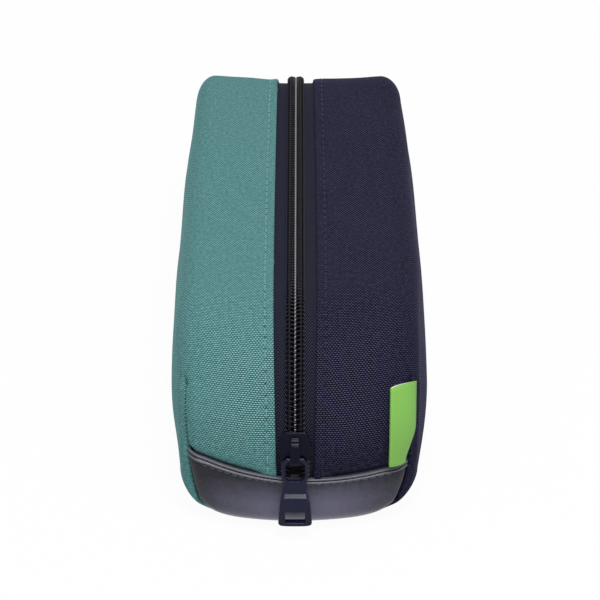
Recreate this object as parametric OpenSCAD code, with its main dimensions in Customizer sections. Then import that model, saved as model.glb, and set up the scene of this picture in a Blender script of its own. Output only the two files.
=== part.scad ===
// Zipped box pouch in two colours of cloth, with a faux leather base that turns up both ends.
// The zip runs over the front, the top and the back. Its slider is parked at the front.
// Millimetres, +Z up, origin on the ground under the middle of the base, the front end at -Y.

/* [Body] */
// Length over the two ends, along the zip
body_l = 200; // [180:1:230]
// Width over the sides at the middle
body_w = 80.5; // [74:0.5:92]
// Width over the sides at the front end
front_w = 78; // [70:0.5:84]
// Width over the sides at the back end
back_w = 74.5; // [68:0.5:84]
// Height of the top above the ground
body_h = 60; // [56:1:72]
// Radius of the front end, where the zip runs over it
front_r = 45; // [38:0.5:48]
// Radius of the back end, where the zip runs over it
back_r = 28; // [20:0.5:40]
// Radius between the base and the two ends
base_r = 6.5; // [5:0.5:11]
// Height to which the base's long edges are lifted at the sides
base_lift = 8; // [4:0.5:10]
// Width of the base that stays flat on the ground
base_flat = 36; // [24:1:44]
// Radius between the top and the sides
edge_r = 7; // [4:0.5:10]
// How far the sides swell beyond their rounded edges
side_swell = 2.5; // [0.5:0.5:5]
// How far the top falls from the zip to the sides
top_fall = 1.5; // [0:0.25:3]
// How far the front corners are set back from the middle of the front
front_bow = 9; // [4:0.5:12]
// How far the back corners are set back from the middle of the back
back_bow = 4; // [2:0.5:10]

/* [Cloth and leather] */
// Thickness of the body cloth
cloth_t = 1; // [0.6:0.1:1.4]
// Thickness of the faux leather
leather_t = 1; // [0.6:0.1:1.4]
// Thickness of the lining
lining_t = 0.5; // [0.3:0.1:0.8]
// Gap left between sewn layers
layer_gap = 0.3; // [0.3:0.05:0.5]
// Gap left where two pieces meet at a seam
seam_gap = 0.3; // [0.2:0.05:0.5]
// Height of the leather's edge at the middle of each end
tongue_h = 19.4; // [17:0.1:28]
// How much higher that edge is at the corners
tongue_rise = 4.25; // [0:0.25:6]
// How much higher still it is sewn at the left corner, and lower at the right one
tongue_skew = 2.5; // [0:0.25:4]
// Width of the leather's rolled edge
roll_w = 2.2; // [1.4:0.1:3]
// How far the rolled edge stands proud
roll_out = 0.7; // [0.3:0.1:1]
// Height at which the corner seams end
seam_h = 46; // [40:1:50]
// Height below which the corner seams turn in towards the base
seam_turn = 24; // [20:1:30]
// How far the seams run in from the edge of the base
seam_in = 6.8; // [2:0.2:9]
// Width of the tape that binds the seams inside
binding_w = 5; // [3:0.5:8]
// Thickness of the bound seam
binding_t = 1.2; // [0.8:0.1:1.6]

/* [Zip] */
// How far the zip is sewn to the left of the middle
zip_off = 1.3; // [0:0.1:2]
// Width of one zip tape
tape_w = 11; // [9:0.5:14]
// Thickness of the zip tape
tape_t = 0.6; // [0.4:0.1:0.8]
// Distance from the middle of the zip to the edge of its tape
tape_in = 1.5; // [1.4:0.1:1.8]
// Width of one coil, from the middle of the zip
coil_w = 3; // [2.6:0.1:3.4]
// Height of the coil above its tape
coil_h = 2.2; // [1.8:0.1:2.6]
// Distance from one turn of a coil to the next
coil_pitch = 1.5; // [1.4:0.1:2]
// How far each turn reaches past the middle of the zip
coil_reach = 0.3; // [0.2:0.05:0.4]
// Distance from the slider's shoulders to the cloth edges beside them
window_clear = 0.6; // [0.5:0.1:1.5]
// How much wider the gap between the cloth edges is on the top than at the ends
window_spread = 2; // [0:0.2:4]
// Overlap of the lining and the zip tape, where they are sewn
lining_lap = 3.3; // [2:0.1:5]

/* [Slider] */
// Length of the slider
slider_l = 10.8; // [9:0.2:13]
// Thickness of the slider's upper plate
plate_t = 1.3; // [1:0.1:1.8]
// Thickness of the slider's lower plate
sole_t = 1; // [0.8:0.1:1.4]
// Thickness of the slider's side walls
wall_t = 0.5; // [0.4:0.05:0.8]
// Width of the post between the two plates
post_w = 2.1; // [1.6:0.1:2.2]
// Fall of the upper plate from its middle to its ends
plate_fall = 0.6; // [0.2:0.1:0.8]
// Distance from the middle of the slider back to its shoulders
shoulder_at = 0.9; // [0:0.1:2]
// Length of the straight stretch at its shoulders
shoulder_l = 1.6; // [1:0.1:2.5]
// Width of the slider's nose
nose_w = 6.4; // [5:0.2:8]
// Distance from the middle of the slider back to the tip of its post
post_tip = 1.3; // [0.6:0.1:2]
// Distance from the middle of the slider forward to the thick part of its post
post_at = 1.5; // [1:0.1:2]
// Distance from the slider's tail to the bridge
bridge_in = 1.2; // [0.8:0.1:2]
// Distance from the slider to the leather's edge, along the zip
park_gap = 5; // [1.5:0.5:8]
// Width of the bridge that holds the pull
bridge_w = 3; // [2.4:0.2:3.6]
// Thickness of the bridge
bridge_t = 0.9; // [0.7:0.1:1.3]
// Distance from the slider's nose back to the bridge
bridge_nose = 0.8; // [0.1:0.1:1.5]

/* [Pull] */
// Length of the pull, from the middle of its bar to its lower edge
pull_l = 23.7; // [21:0.1:25]
// Width of the pull at its lower edge
pull_w = 10.3; // [9.4:0.1:13]
// Width of the grip at its shoulders
grip_w = 9.1; // [8:0.1:9.4]
// Width of the pull at its neck
neck_w = 7; // [6:0.1:7.6]
// Thickness of the pull's ring and neck
neck_t = 1.3; // [1.1:0.1:1.5]
// How much thicker the grip is than the neck
grip_out = 1.1; // [0.3:0.1:1.4]
// Diameter of the pull's bar, under the bridge
bar_d = 1.3; // [1.1:0.1:1.5]
// Width over the pull's ring
ring_w = 8.2; // [7.6:0.1:9]
// Height of the opening in the ring, below the bar
ring_h = 6.8; // [6:0.1:8]
// Width of the ring's band
ring_t = 1.1; // [0.8:0.1:1.4]
// Outer radius of the ring's corners
ring_r = 2.9; // [2.4:0.1:3.4]
// Length of the neck, from the ring to the grip's slope
neck_l = 3.1; // [2.5:0.1:5]
// Length of the slope from the neck to the grip
slope_l = 1.6; // [1:0.1:3]
// Length of the flare, from the neck to the grip's shoulders
flare_l = 4; // [2.5:0.1:5]
// Height of the window in the grip
window_h = 3.9; // [2:0.1:4.5]
// Width of the window in the grip
window_w = 6; // [4:0.1:6.4]
// Height of the grip's foot, below the window
foot_h = 1.6; // [1.2:0.1:3]
// How far the foot bows down between its corners
foot_bow = 0.5; // [0.2:0.1:0.8]
// Lean of the hanging pull, away from the pouch
pull_lean = 3; // [0:1:15]

/* [Label] */
// Width of the folded label, from its seam to its fold
label_w = 7.4; // [6:0.2:14]
// Rise from the label's lower end to its upper end
label_h = 20.5; // [14:0.5:22]
// Thickness of the label's ribbon
label_t = 0.35; // [0.2:0.05:0.5]
// Height of the label's lower end above the middle of the leather's edge
label_up = 3.6; // [3:0.1:6]
// How far the label's fold stands off the cloth
label_stand = 1.1; // [0.5:0.1:2]

/* [Hidden] */
$fn = 48;

// Colours of the finishes
teal = "#5F968C";
navy = "#32304A";
leather_navy = "#45465A";
lining_grey = "#3A3B45";
tape_navy = "#2D2E41";
coil_navy = "#23232F";
enamel_navy = "#1C2037";
lime = "#86C05A";

// Depths of the layers below the outer skin
run_clear = 0.4;
coil_clear = 0.13;
tape_d = max(cloth_t, leather_t) + layer_gap;
lining_d = tape_d + tape_t + layer_gap;
binding_d = lining_d + lining_t + 3 * layer_gap;
coil_d = tape_d - layer_gap / 2;

// Spine: the line inside each side that the side's rings shrink to
spine_z = body_h / 2 - 2;
spine_span = body_h / 2;
spine_half = body_l / 2 - spine_span;
spine_steps = 4;
flat_half = body_w / 2 - side_swell - edge_r;
side_start = edge_r / spine_span;

// Lateral places on the skin: 0 at the zip, 1 where the edge starts to round, 2 where the side
// starts, 3 at the spine
b_edge = 1;
b_side = 2;
b_spine = 3;
b_seam = 1.4;
b_low = b_edge - seam_in / flat_half;
function seam_b(z) = lerp(b_seam, b_low, pow(max(0, 1 - z / seam_turn), 2));
b_gap = seam_gap / (edge_r * PI / 2);

// Numbers of steps along the profile
arc_steps = 10;
top_steps = 8;
wall_steps = 2;
foot_steps = 3;
floor_steps = 6;

function lerp(a, b, t) = a + (b - a) * t;
function smooth(t) = let (c = max(0, min(1, t))) c * c * (3 - 2 * c);
function reversed(v) = [for (i = [len(v) - 1:-1:0]) v[i]];
function inner_part(v) = [for (i = [1:len(v) - 2]) v[i]];

// Profile of the pouch in the plane of the zip, as [y, z, normal y, normal z].
// A station [end, z] lies on the front (-1) or the back (1), and [0, z, y] on the top or the base.
function end_r(end) = end < 0 ? front_r : back_r;
function on_end(end, z) =
    let (r = end_r(end), high = (z - body_h + r) / r, low = (base_r - z) / base_r)
    high > 0 ? let (c = sqrt(max(0, 1 - high * high)))
        [end * (body_l / 2 - r + r * c), z, end * c, high] :
    low > 0 ? let (c = sqrt(max(0, 1 - low * low)))
        [end * (body_l / 2 - base_r + base_r * c), z, end * c, -low] :
    [end * body_l / 2, z, end, 0];
function rise_fade(z) = z > tongue_h ?
    (body_h - z) / (body_h - tongue_h) : max(0, (z - base_r) / (tongue_h - base_r));
function edge_rise(x) = let (u = 2 * x / body_w) tongue_rise * u * u - tongue_skew * u;
function profile(st, x) = st[0] == 0 ? [st[2], st[1], 0, st[1] > 0 ? 1 : -1] :
    on_end(st[0], st[1] + edge_rise(x) * rise_fade(st[1]));

// Lift of the base's long edges at lateral distance x, fading out up the walls
function lift_at(x, z) = let (u = max(0, (x - base_flat / 2) / (body_w / 2 - base_flat / 2)))
    base_lift * u * u * pow(max(0, 1 - z / seam_turn), 2);

// Lateral form, as [x, share of the way to the spine, angle of the skin from the top's]
function lateral(b) =
    b <= b_edge ? [b * flat_half, 0, 0] :
    b <= b_side ? let (f = 90 * (b - b_edge))
        [flat_half + edge_r * sin(f), edge_r * (1 - cos(f)) / spine_span, f] :
    let (t = b - b_side)
        [flat_half + edge_r + side_swell * sin(90 * t), lerp(side_start, 1, t), 90];
function width_share(y) = let (u = 2 * y / body_l)
    1 + ((back_w - front_w) / 2 * u + ((back_w + front_w) / 2 - body_w) * u * u) / body_w;

// Point of the skin at station st and lateral place b, at a depth below the outer face
function skin(st, b, depth) =
    let (form = lateral(abs(b)),
        side = b < 0 ? -1 : 1,
        p = profile(st, side * form[0]),
        out = pow(2 * form[0] / body_w, 2),
        sink = depth * cos(form[2]) + top_fall * max(0, p[3]) * out,
        y0 = p[0] - sink * p[2],
        z0 = p[1] + lift_at(form[0], p[1]) - sink * p[3],
        y_spine = max(-spine_half, min(spine_half, p[0])),
        y = lerp(y0, y_spine, form[1]),
        z = lerp(z0, spine_z, form[1]),
        bow = (y < 0 ? front_bow : back_bow) * 2 * y / body_l * out,
        x = (form[0] - depth * sin(form[2])) * width_share(y))
    [side * x - zip_off * (1 - out), y - bow, z];

// Stations over one end from height z to the top, and under it from height z to the base
function rise_angle(end, z) = let (r = end_r(end)) z > body_h - r ? asin((z - body_h + r) / r) : 0;
function over_end(end, z) = let (r = end_r(end), a = rise_angle(end, z))
    concat(z < body_h - r ? [[end, z]] : [],
        [for (i = [0:arc_steps]) [end, body_h - r + r * sin(lerp(a, 90, i / arc_steps))]]);
function under_end(end, z) = concat(
    [for (i = [0:wall_steps - 1]) [end, lerp(z, base_r, i / wall_steps)]],
    [for (i = [0:foot_steps]) [end, base_r * (1 - sin(90 * i / foot_steps))]]);
function top_line() = [for (i = [1:top_steps - 1])
    [0, body_h, lerp(front_r - body_l / 2, body_l / 2 - back_r, i / top_steps)]];
function floor_line() = [for (i = [1:floor_steps - 1])
    [0, 0, (body_l / 2 - base_r) * (1 - 2 * i / floor_steps)]];
function upper_run(z) = concat(over_end(-1, z), top_line(), reversed(over_end(1, z)));
function lower_run(z) = concat(under_end(1, z), floor_line(), reversed(under_end(-1, z)));

// Closed sheet between two grids of points with the same rows and columns.
// The grids of a piece on the left side, drawn with negative lateral places, have their rows turned.
function rows_of(side, grid) = side < 0 ? reversed(grid) : grid;
module sheet(outer, inner) {
    rows = len(outer);
    cols = len(outer[0]);
    function id(side, r, c) = (side * rows + r) * cols + c;
    points = [for (g = [outer, inner]) for (row = g) for (p = row) p];
    faces = [
        for (r = [0:rows - 2]) for (c = [0:cols - 2]) each [
            [id(0, r, c), id(0, r + 1, c), id(0, r + 1, c + 1)],
            [id(0, r, c), id(0, r + 1, c + 1), id(0, r, c + 1)],
            [id(1, r, c), id(1, r + 1, c + 1), id(1, r + 1, c)],
            [id(1, r, c), id(1, r, c + 1), id(1, r + 1, c + 1)]],
        for (r = [0:rows - 2]) each [
            [id(0, r, 0), id(1, r + 1, 0), id(0, r + 1, 0)],
            [id(0, r, 0), id(1, r, 0), id(1, r + 1, 0)],
            [id(0, r, cols - 1), id(0, r + 1, cols - 1), id(1, r + 1, cols - 1)],
            [id(0, r, cols - 1), id(1, r + 1, cols - 1), id(1, r, cols - 1)]],
        for (c = [0:cols - 2]) each [
            [id(0, 0, c), id(0, 0, c + 1), id(1, 0, c + 1)],
            [id(0, 0, c), id(1, 0, c + 1), id(1, 0, c)],
            [id(0, rows - 1, c), id(1, rows - 1, c + 1), id(0, rows - 1, c + 1)],
            [id(0, rows - 1, c), id(1, rows - 1, c), id(1, rows - 1, c + 1)]]];
    polyhedron(points, faces);
}

// One half of the pouch's skin: half the top, one side, and half of each end above the leather.
// The side is -1 for the left half and 1 for the right one.
// It is cut off at half_gap from the zip's middle on top, and less by narrowing at the ends.
module half_skin(side, depth, thick, half_gap, narrowing, z) {
    upper = upper_run(z);
    stations = concat(upper, inner_part(lower_run(z)));
    count = len(stations);
    top_count = len(upper);
    function side_rings(z) = [seam_b(z), lerp(seam_b(z), b_side, 0.3), b_side, 2.4, 2.75];
    function edge_b(st) = (half_gap - narrowing * (1 - max(0, profile(st, 0)[3]))) / flat_half;
    function rings(st) = let (b = edge_b(st))
        concat([for (t = [0:seam_ring - 1]) lerp(b, b_edge, t / (seam_ring - 1))], side_rings(st[1]));
    seam_ring = 4;
    ring_count = seam_ring + len(side_rings(z));
    first = [for (i = [0:count - 1]) i < top_count ? 0 : seam_ring];
    spine_pts = [for (k = [0:spine_steps]) [0, body_h, spine_half * (2 * k / spine_steps - 1)]];
    spine_at = [for (st = stations) let (y = profile(st, 0)[0])
        round(spine_steps * (max(-1, min(1, y / spine_half)) + 1) / 2)];
    layer = count * ring_count + spine_steps + 1;
    points = [for (d = [depth, depth + thick]) each concat(
        [for (st = stations) for (b = rings(st)) skin(st, side * b, d)],
        [for (st = spine_pts) skin(st, side * b_spine, d)])];
    function id(face, i, j) = face * layer + (i % count) * ring_count + j;
    function spine_id(face, i) = face * layer + count * ring_count + spine_at[i % count];
    function shell(face) = [
        for (i = [0:count - 1]) each concat(
            [for (j = [max(first[i], first[(i + 1) % count]):ring_count - 2]) each [
                [id(face, i, j), id(face, i + 1, j + 1), id(face, i, j + 1)],
                [id(face, i, j), id(face, i + 1, j), id(face, i + 1, j + 1)]]],
            [[id(face, i, ring_count - 1), id(face, i + 1, ring_count - 1), spine_id(face, i)]],
            spine_at[i] == spine_at[(i + 1) % count] ? [] :
                [[id(face, i + 1, ring_count - 1), spine_id(face, i + 1), spine_id(face, i)]])];
    function wall(i, j, k, l) = [[id(0, i, j), id(1, k, l), id(0, k, l)],
        [id(0, i, j), id(1, i, j), id(1, k, l)]];
    faces = concat(shell(0), [for (f = shell(1)) reversed(f)],
        [for (i = [0:top_count - 2]) each wall(i, 0, i + 1, 0)],
        [for (i = [top_count - 1:count - 1]) each wall(i, seam_ring, i + 1, seam_ring)],
        [for (j = [0:seam_ring - 1]) each concat(wall(0, j + 1, 0, j),
            wall(top_count - 1, j, top_count - 1, j + 1))]);
    polyhedron(points, side < 0 ? [for (f = faces) reversed(f)] : faces);
}

// Half the gap between the cloth edges, beside the slider and on the top
slider_half = post_w / 2 + coil_w + coil_reach + 2 * coil_clear + wall_t;
window_half = slider_half + window_clear + window_spread / 2;

module body_half(side)
    half_skin(side, 0, cloth_t, window_half, window_spread / 2, tongue_h + seam_gap);
module left_body_panel() color(teal) body_half(-1);
module right_body_panel() color(navy) body_half(1);

// The lining is sewn to the underside of the zip tape, clear of the slider
lining_half = tape_in + tape_w - lining_lap;
module lining_side(side) half_skin(side, lining_d, lining_t, lining_half, 0, tongue_h + seam_gap);
module left_lining() color(lining_grey) lining_side(-1);
module right_lining() color(lining_grey) lining_side(1);

// Base: a strip that turns up both ends, with a rolled edge at each of its two tops
base_shares = [-1, -0.75, -0.5, -0.2, 0, 0.2, 0.5, 0.75, 1];
function base_rings(st) = base_shares * (seam_b(st[1]) - b_gap);
roll_line = [[0, -0.2], [0.3, -1], [0.7, -1], [1, 0.2]];
function roll_end(end) = [for (r = roll_line) [end, tongue_h - roll_w * r[0]]];
module base_panel() {
    plain = inner_part(lower_run(tongue_h - roll_w));
    stations = concat(roll_end(1), plain, reversed(roll_end(-1)));
    last = len(stations) - 1;
    function proud(i) = let (k = min(i, last - i)) k < len(roll_line) ? roll_line[k][1] * roll_out : 0;
    color(leather_navy) sheet(
        [for (i = [0:last]) [for (b = base_rings(stations[i])) skin(stations[i], b, proud(i))]],
        [for (st = stations) [for (b = base_rings(st)) skin(st, b, leather_t)]]);
}
module base_lining() color(lining_grey) {
    stations = lower_run(tongue_h);
    sheet([for (st = stations) [for (b = base_rings(st)) skin(st, b, lining_d)]],
        [for (st = stations) [for (b = base_rings(st)) skin(st, b, lining_d + lining_t)]]);
}

// Bound seams inside, folded towards the base: from the corner seam of the front, along the base,
// to that of the back
module seam_binding(side) {
    rise = [for (i = [0:2]) lerp(seam_h, tongue_h, i / 3)];
    stations = concat([for (z = rise) [1, z]], lower_run(tongue_h),
        reversed([for (z = rise) [-1, z]]));
    function place_b(st) = seam_b(st[1]) - 2 * b_gap;
    function across(st) = let (b = place_b(st),
        v = skin(st, side * (b + b_gap), 0) - skin(st, side * (b - b_gap), 0)) v / norm(v);
    function face(d) = rows_of(side, [for (st = stations)
        let (middle = skin(st, side * place_b(st), d), half = binding_t / 2 * across(st))
        [middle - half, middle + half]]);
    sheet(face(binding_d), face(binding_d + binding_w));
}
module left_seam_binding() color(tape_navy) seam_binding(-1);
module right_seam_binding() color(tape_navy) seam_binding(1);

// Zip tape: a flat strip under the cloth edge, its ends sewn under the leather
tape_under = 4;
module zip_tape(side) {
    stations = upper_run(tongue_h - tape_under);
    function face(d) = rows_of(side, [for (st = stations)
        [for (t = [0, 0.5, 1]) skin(st, side * (tape_in + t * tape_w) / flat_half, d)]]);
    sheet(face(tape_d), face(tape_d + tape_t));
}
module left_zip_tape() color(tape_navy) zip_tape(-1);
module right_zip_tape() color(tape_navy) zip_tape(1);

// The zip's own path: s is measured along the skin from the top of the front end, backwards
top_len = body_l - front_r - back_r;
back_turn = back_r * PI / 2;
function zip_at(s) =
    s < -front_r * PI / 2 ? [-body_l / 2, body_h - front_r + s + front_r * PI / 2, -1, 0] :
    s < 0 ? let (a = 90 + s / front_r * 180 / PI)
        [front_r - body_l / 2 - front_r * cos(a), body_h - front_r + front_r * sin(a), -cos(a), sin(a)] :
    s < top_len ? [front_r - body_l / 2 + s, body_h, 0, 1] :
    s < top_len + back_turn ? let (a = 90 - (s - top_len) / back_r * 180 / PI)
        [body_l / 2 - back_r + back_r * cos(a), body_h - back_r + back_r * sin(a), cos(a), sin(a)] :
    [body_l / 2, body_h - back_r - (s - top_len - back_turn), 1, 0];
function edge_s(end) = let (r = end_r(end), a = rise_angle(end, tongue_h))
    -(90 - a) * PI / 180 * r + min(0, tongue_h - body_h + r);
coil_end_gap = 0.8;
coil_from = edge_s(-1) + coil_end_gap;
coil_to = top_len - edge_s(1) - coil_end_gap;

// Slider's place: its middle along the zip, and its turn about the middle of the front end
park_s = max(edge_s(-1) + park_gap, -front_r * PI / 2) + slider_l / 2;
park_turn = -park_s / front_r * 180 / PI;
turn_y = front_r - body_l / 2;
turn_z = body_h - front_r;
path_r = front_r - tape_d - tape_t / 2;
slider_sag = slider_l * slider_l / (8 * path_r);

// Coil: one turn for each pitch, its heads set between those of the other coil.
// Inside the slider and below it the two coils part and pass beside the post.
coil_part = post_w / 2 + coil_reach + coil_clear;
part_from = slider_l / 2 - run_clear;
function parting(s) = coil_part * smooth((part_from - (s - park_s)) / (part_from + post_at));
coil_gap = 0.25;
coil_lean = 0.5;
module zip_coil(side) {
    shift = side < 0 ? 1 : 0;
    steps = floor((coil_to - coil_from) / (coil_pitch / 2)) - 1;
    function section(i) =
        let (s = coil_from + (i + 0.5) * coil_pitch / 2,
            p = zip_at(s),
            crest = (i + shift) % 2 == 0,
            x_in = parting(s) + (crest ? -coil_reach : coil_reach + coil_gap),
            x_out = parting(s) + coil_w - (crest ? 0 : coil_lean),
            low = coil_d,
            high = coil_d - coil_h + (crest ? 0 : coil_lean),
            bow = front_bow * 2 * p[0] / body_l * pow(coil_w / body_w, 2))
        [for (q = [[x_in, low], [x_out, low], [x_out - coil_lean, high], [x_in + coil_lean, high]])
            [side * q[0] - zip_off, p[0] - q[1] * p[2] - (p[0] < 0 ? bow : 0), p[1] - q[1] * p[3]]];
    points = [for (i = [0:steps]) each section(i)];
    sides = 4;
    faces = [
        [3, 2, 1, 0],
        [for (k = [0:sides - 1]) steps * sides + k],
        for (i = [0:steps - 1]) for (k = [0:sides - 1]) let (n = (k + 1) % sides) each [
            [i * sides + k, i * sides + n, (i + 1) * sides + n],
            [i * sides + k, (i + 1) * sides + n, (i + 1) * sides + k]]];
    polyhedron(points, side < 0 ? [for (f = faces) reversed(f)] : faces);
}
module left_zip_coil() color(coil_navy) zip_coil(-1);
module right_zip_coil() color(coil_navy) zip_coil(1);

// Puts a piece drawn flat, with Y along the zip and Z away from the tape, at the parked slider
module parked() translate([-zip_off, turn_y, turn_z]) rotate([park_turn, 0, 0])
    translate([0, 0, path_r]) children();

// Slider: two plates joined by a post, with side walls that lead the coils together
tail_half = coil_w + 2 * coil_clear + wall_t;
plate_z = coil_h + tape_t / 2 + layer_gap / 2 + run_clear;
plate_top = plate_z + plate_t;
sole_z = -(tape_t / 2 + slider_sag + run_clear + layer_gap);
shoulder_end = shoulder_at - shoulder_l;
corner_r = 0.9;
dome_r = (slider_l * slider_l / 4 + plate_fall * plate_fall) / (2 * plate_fall);
module slider_outline() hull() for (side = [-1, 1]) {
    translate([side * (tail_half - corner_r), slider_l / 2 - corner_r]) circle(corner_r, $fn = 24);
    translate([side * (slider_half - corner_r), shoulder_at]) circle(corner_r, $fn = 24);
    translate([side * (slider_half - corner_r), shoulder_end]) circle(corner_r, $fn = 24);
    translate([side * (nose_w / 2 - corner_r), corner_r - slider_l / 2]) circle(corner_r, $fn = 24);
}
module side_wall() polygon([[tail_half - wall_t, slider_l / 2 - corner_r],
    [tail_half, slider_l / 2 - corner_r], [slider_half, shoulder_at], [slider_half, shoulder_end],
    [slider_half - wall_t, shoulder_end], [slider_half - wall_t, shoulder_at]]);
module post_outline() polygon([[0, post_tip], [post_w / 2, -post_at],
    [post_w / 3, wall_t - slider_l / 2], [-post_w / 3, wall_t - slider_l / 2], [-post_w / 2, -post_at]]);
module plate_dome(grow) translate([0, 0, plate_top - dome_r]) rotate([0, 90, 0])
    cylinder(r = dome_r + grow, h = 2 * slider_l, center = true, $fn = 96);
module zip_slider() color(enamel_navy) parked() {
    intersection() {
        translate([0, 0, plate_z]) linear_extrude(plate_t) slider_outline();
        plate_dome(0);
    }
    translate([0, 0, sole_z - sole_t]) linear_extrude(sole_t) slider_outline();
    translate([0, 0, sole_z]) linear_extrude(plate_z - sole_z) post_outline();
    wall_low = tape_t / 2 + run_clear;
    for (side = [0, 1]) mirror([side, 0, 0])
        translate([0, 0, wall_low]) linear_extrude(plate_z - wall_low) side_wall();
}

// Bridge: an arch along the slider, with a slot in which the pull's bar turns
bar_clear = 0.3;
slot_r = bar_d / 2 + bar_clear;
bar_y = -slider_l / 2 + slot_r + bridge_t + bridge_nose;
bar_z = plate_top + slot_r;
bridge_tail = slider_l / 2 - bridge_in;
slot_tail = bridge_tail - slot_r - 2 * bridge_t;
seat_gap = 0.05;
module bridge_outline() difference() {
    union() {
        translate([bar_y, bar_z]) circle(slot_r + bridge_t);
        translate([slot_tail, bar_z]) circle(slot_r + bridge_t);
        translate([bar_y, bar_z]) square([slot_tail - bar_y, slot_r + bridge_t]);
        translate([bar_y - slot_r - bridge_t, plate_z]) square([bridge_t, bar_z - plate_z]);
        polygon([[slot_tail + slot_r, plate_z], [bridge_tail, plate_z], [bridge_tail, plate_top + bridge_t],
            [slot_tail + slot_r, bar_z + slot_r]]);
    }
    for (y = [bar_y, slot_tail]) translate([y, bar_z]) circle(slot_r);
    translate([bar_y, plate_z]) square([slot_tail - bar_y, bar_z + slot_r - plate_z]);
    translate([bar_y - slot_r, plate_z]) square([slot_tail - bar_y + 2 * slot_r, bar_z - plate_z]);
}
module slider_bridge() color(enamel_navy) parked() difference() {
    rotate([90, 0, 90]) linear_extrude(bridge_w, center = true) bridge_outline();
    plate_dome(seat_gap);
}

// Pull: a round bar under the bridge, an oval ring, a neck and a thicker flared grip with a window
ring_z = -bar_d / 2 - ring_h - ring_t;
slope_z = ring_z - neck_l;
grip_z = slope_z - slope_l;
flare_z = slope_z - flare_l;
foot_z = foot_h - pull_l;
pull_corner = 1.2;
bar_half = bridge_w / 2 + 2 * bar_clear;
foot_half = pull_w / 2 - pull_corner;
bow_r = (foot_half * foot_half + foot_bow * foot_bow) / (2 * foot_bow);
module ring_outline(inset) hull() for (side = [-1, 1]) for (z = [bar_d / 2 - ring_r, ring_z + ring_r])
    translate([side * (ring_w / 2 - ring_r), z]) circle(ring_r - inset, $fn = 32);
module grip_outline() {
    translate([-neck_w / 2, slope_z]) square([neck_w, neck_l + ring_t / 2]);
    polygon([[-neck_w / 2, slope_z], [neck_w / 2, slope_z], [grip_w / 2, flare_z], [-grip_w / 2, flare_z]]);
    hull() for (side = [-1, 1]) {
        translate([side * grip_w / 4, flare_z]) square([grip_w / 2, foot_bow], center = true);
        translate([side * foot_half, pull_corner + foot_bow - pull_l]) circle(pull_corner, $fn = 24);
    }
    intersection() {
        translate([0, bow_r - pull_l]) circle(bow_r, $fn = 64);
        translate([-foot_half, -pull_l]) square([2 * foot_half, foot_h]);
    }
}
module pull_outline() difference() {
    union() {
        ring_outline(0);
        grip_outline();
    }
    ring_outline(ring_t);
    translate([-bar_half, -bar_d]) square([2 * bar_half, 2 * bar_d]);
    translate([-window_w / 2, foot_z]) square([window_w, window_h]);
}
module pull_side() polygon([[neck_t / 2, bar_d], [-neck_t / 2, bar_d], [-neck_t / 2, slope_z],
    [-neck_t / 2 - grip_out, grip_z], [-neck_t / 2 - grip_out, grip_out / 2 - pull_l],
    [-neck_t / 2 - grip_out / 2, -pull_l], [neck_t / 2, -pull_l]]);
module pull_tab() color(enamel_navy) parked() translate([0, bar_y, bar_z])
    rotate([-park_turn - pull_lean, 0, 0]) {
        intersection() {
            rotate([90, 0, 0]) linear_extrude(4 * pull_w, center = true) pull_outline();
            rotate([90, 0, 90]) linear_extrude(2 * pull_w, center = true) pull_side();
        }
        rotate([0, 90, 0]) cylinder(d = bar_d, h = 2 * bar_half + bar_d, center = true);
    }

// Label: a ribbon folded double, its two ends sewn into the right corner seam of the front
label_off = 0.35;
leaf_gap = 0.1;
label_rows = 6;
module side_label() {
    z0 = tongue_h + label_up;
    function place_b(z, t) = let (x = lateral(seam_b(z))[0] - label_w * t)
        x < flat_half ? x / flat_half : b_edge + asin((x - flat_half) / edge_r) / 90;
    // Ribbon's own line, from the seam along the lower leaf, round the fold and back
    leaf = [for (t = [0, 0.3, 0.6, 0.85]) t];
    function low(t) = label_off * (1 + t);
    function high(t) = low(t) + 2 * label_t + leaf_gap + label_stand * smooth(t);
    line_out = concat([for (t = leaf) [t, low(t)]], [[1, lerp(low(1), high(1), 0.3)]],
        [[1, lerp(low(1), high(1), 0.7)]], [for (t = reversed(leaf)) [t, high(t)]]);
    line_in = concat([for (t = leaf) [t, low(t) + label_t]],
        [for (k = [0.4, 0.6]) [1 - label_t / label_w, lerp(low(1), high(1), k)]],
        [for (t = reversed(leaf)) [t, high(t) - label_t]]);
    function face(line) = [for (i = [0:label_rows]) let (z = z0 + label_h * i / label_rows)
        [for (q = line) skin([-1, z], place_b(z, q[0]), -q[1])]];
    color(lime) sheet(face(line_out), face(line_in));
}

left_body_panel();
right_body_panel();
base_panel();
left_lining();
right_lining();
base_lining();
left_seam_binding();
right_seam_binding();
left_zip_tape();
right_zip_tape();
left_zip_coil();
right_zip_coil();
zip_slider();
slider_bridge();
pull_tab();
side_label();
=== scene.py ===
# %% [markdown]
# # A zipped pouch in two colours of cloth
# The real pouch is a small soft box. Two halves of woven cloth, teal and navy, meet at a zip that
# runs over the front, the top and the back. A strip of faux leather is the base and turns up both
# ends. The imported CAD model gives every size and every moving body. This lesson dresses it: numpy
# works out each soft piece as a surface, and shader nodes give each one its finish.

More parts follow.
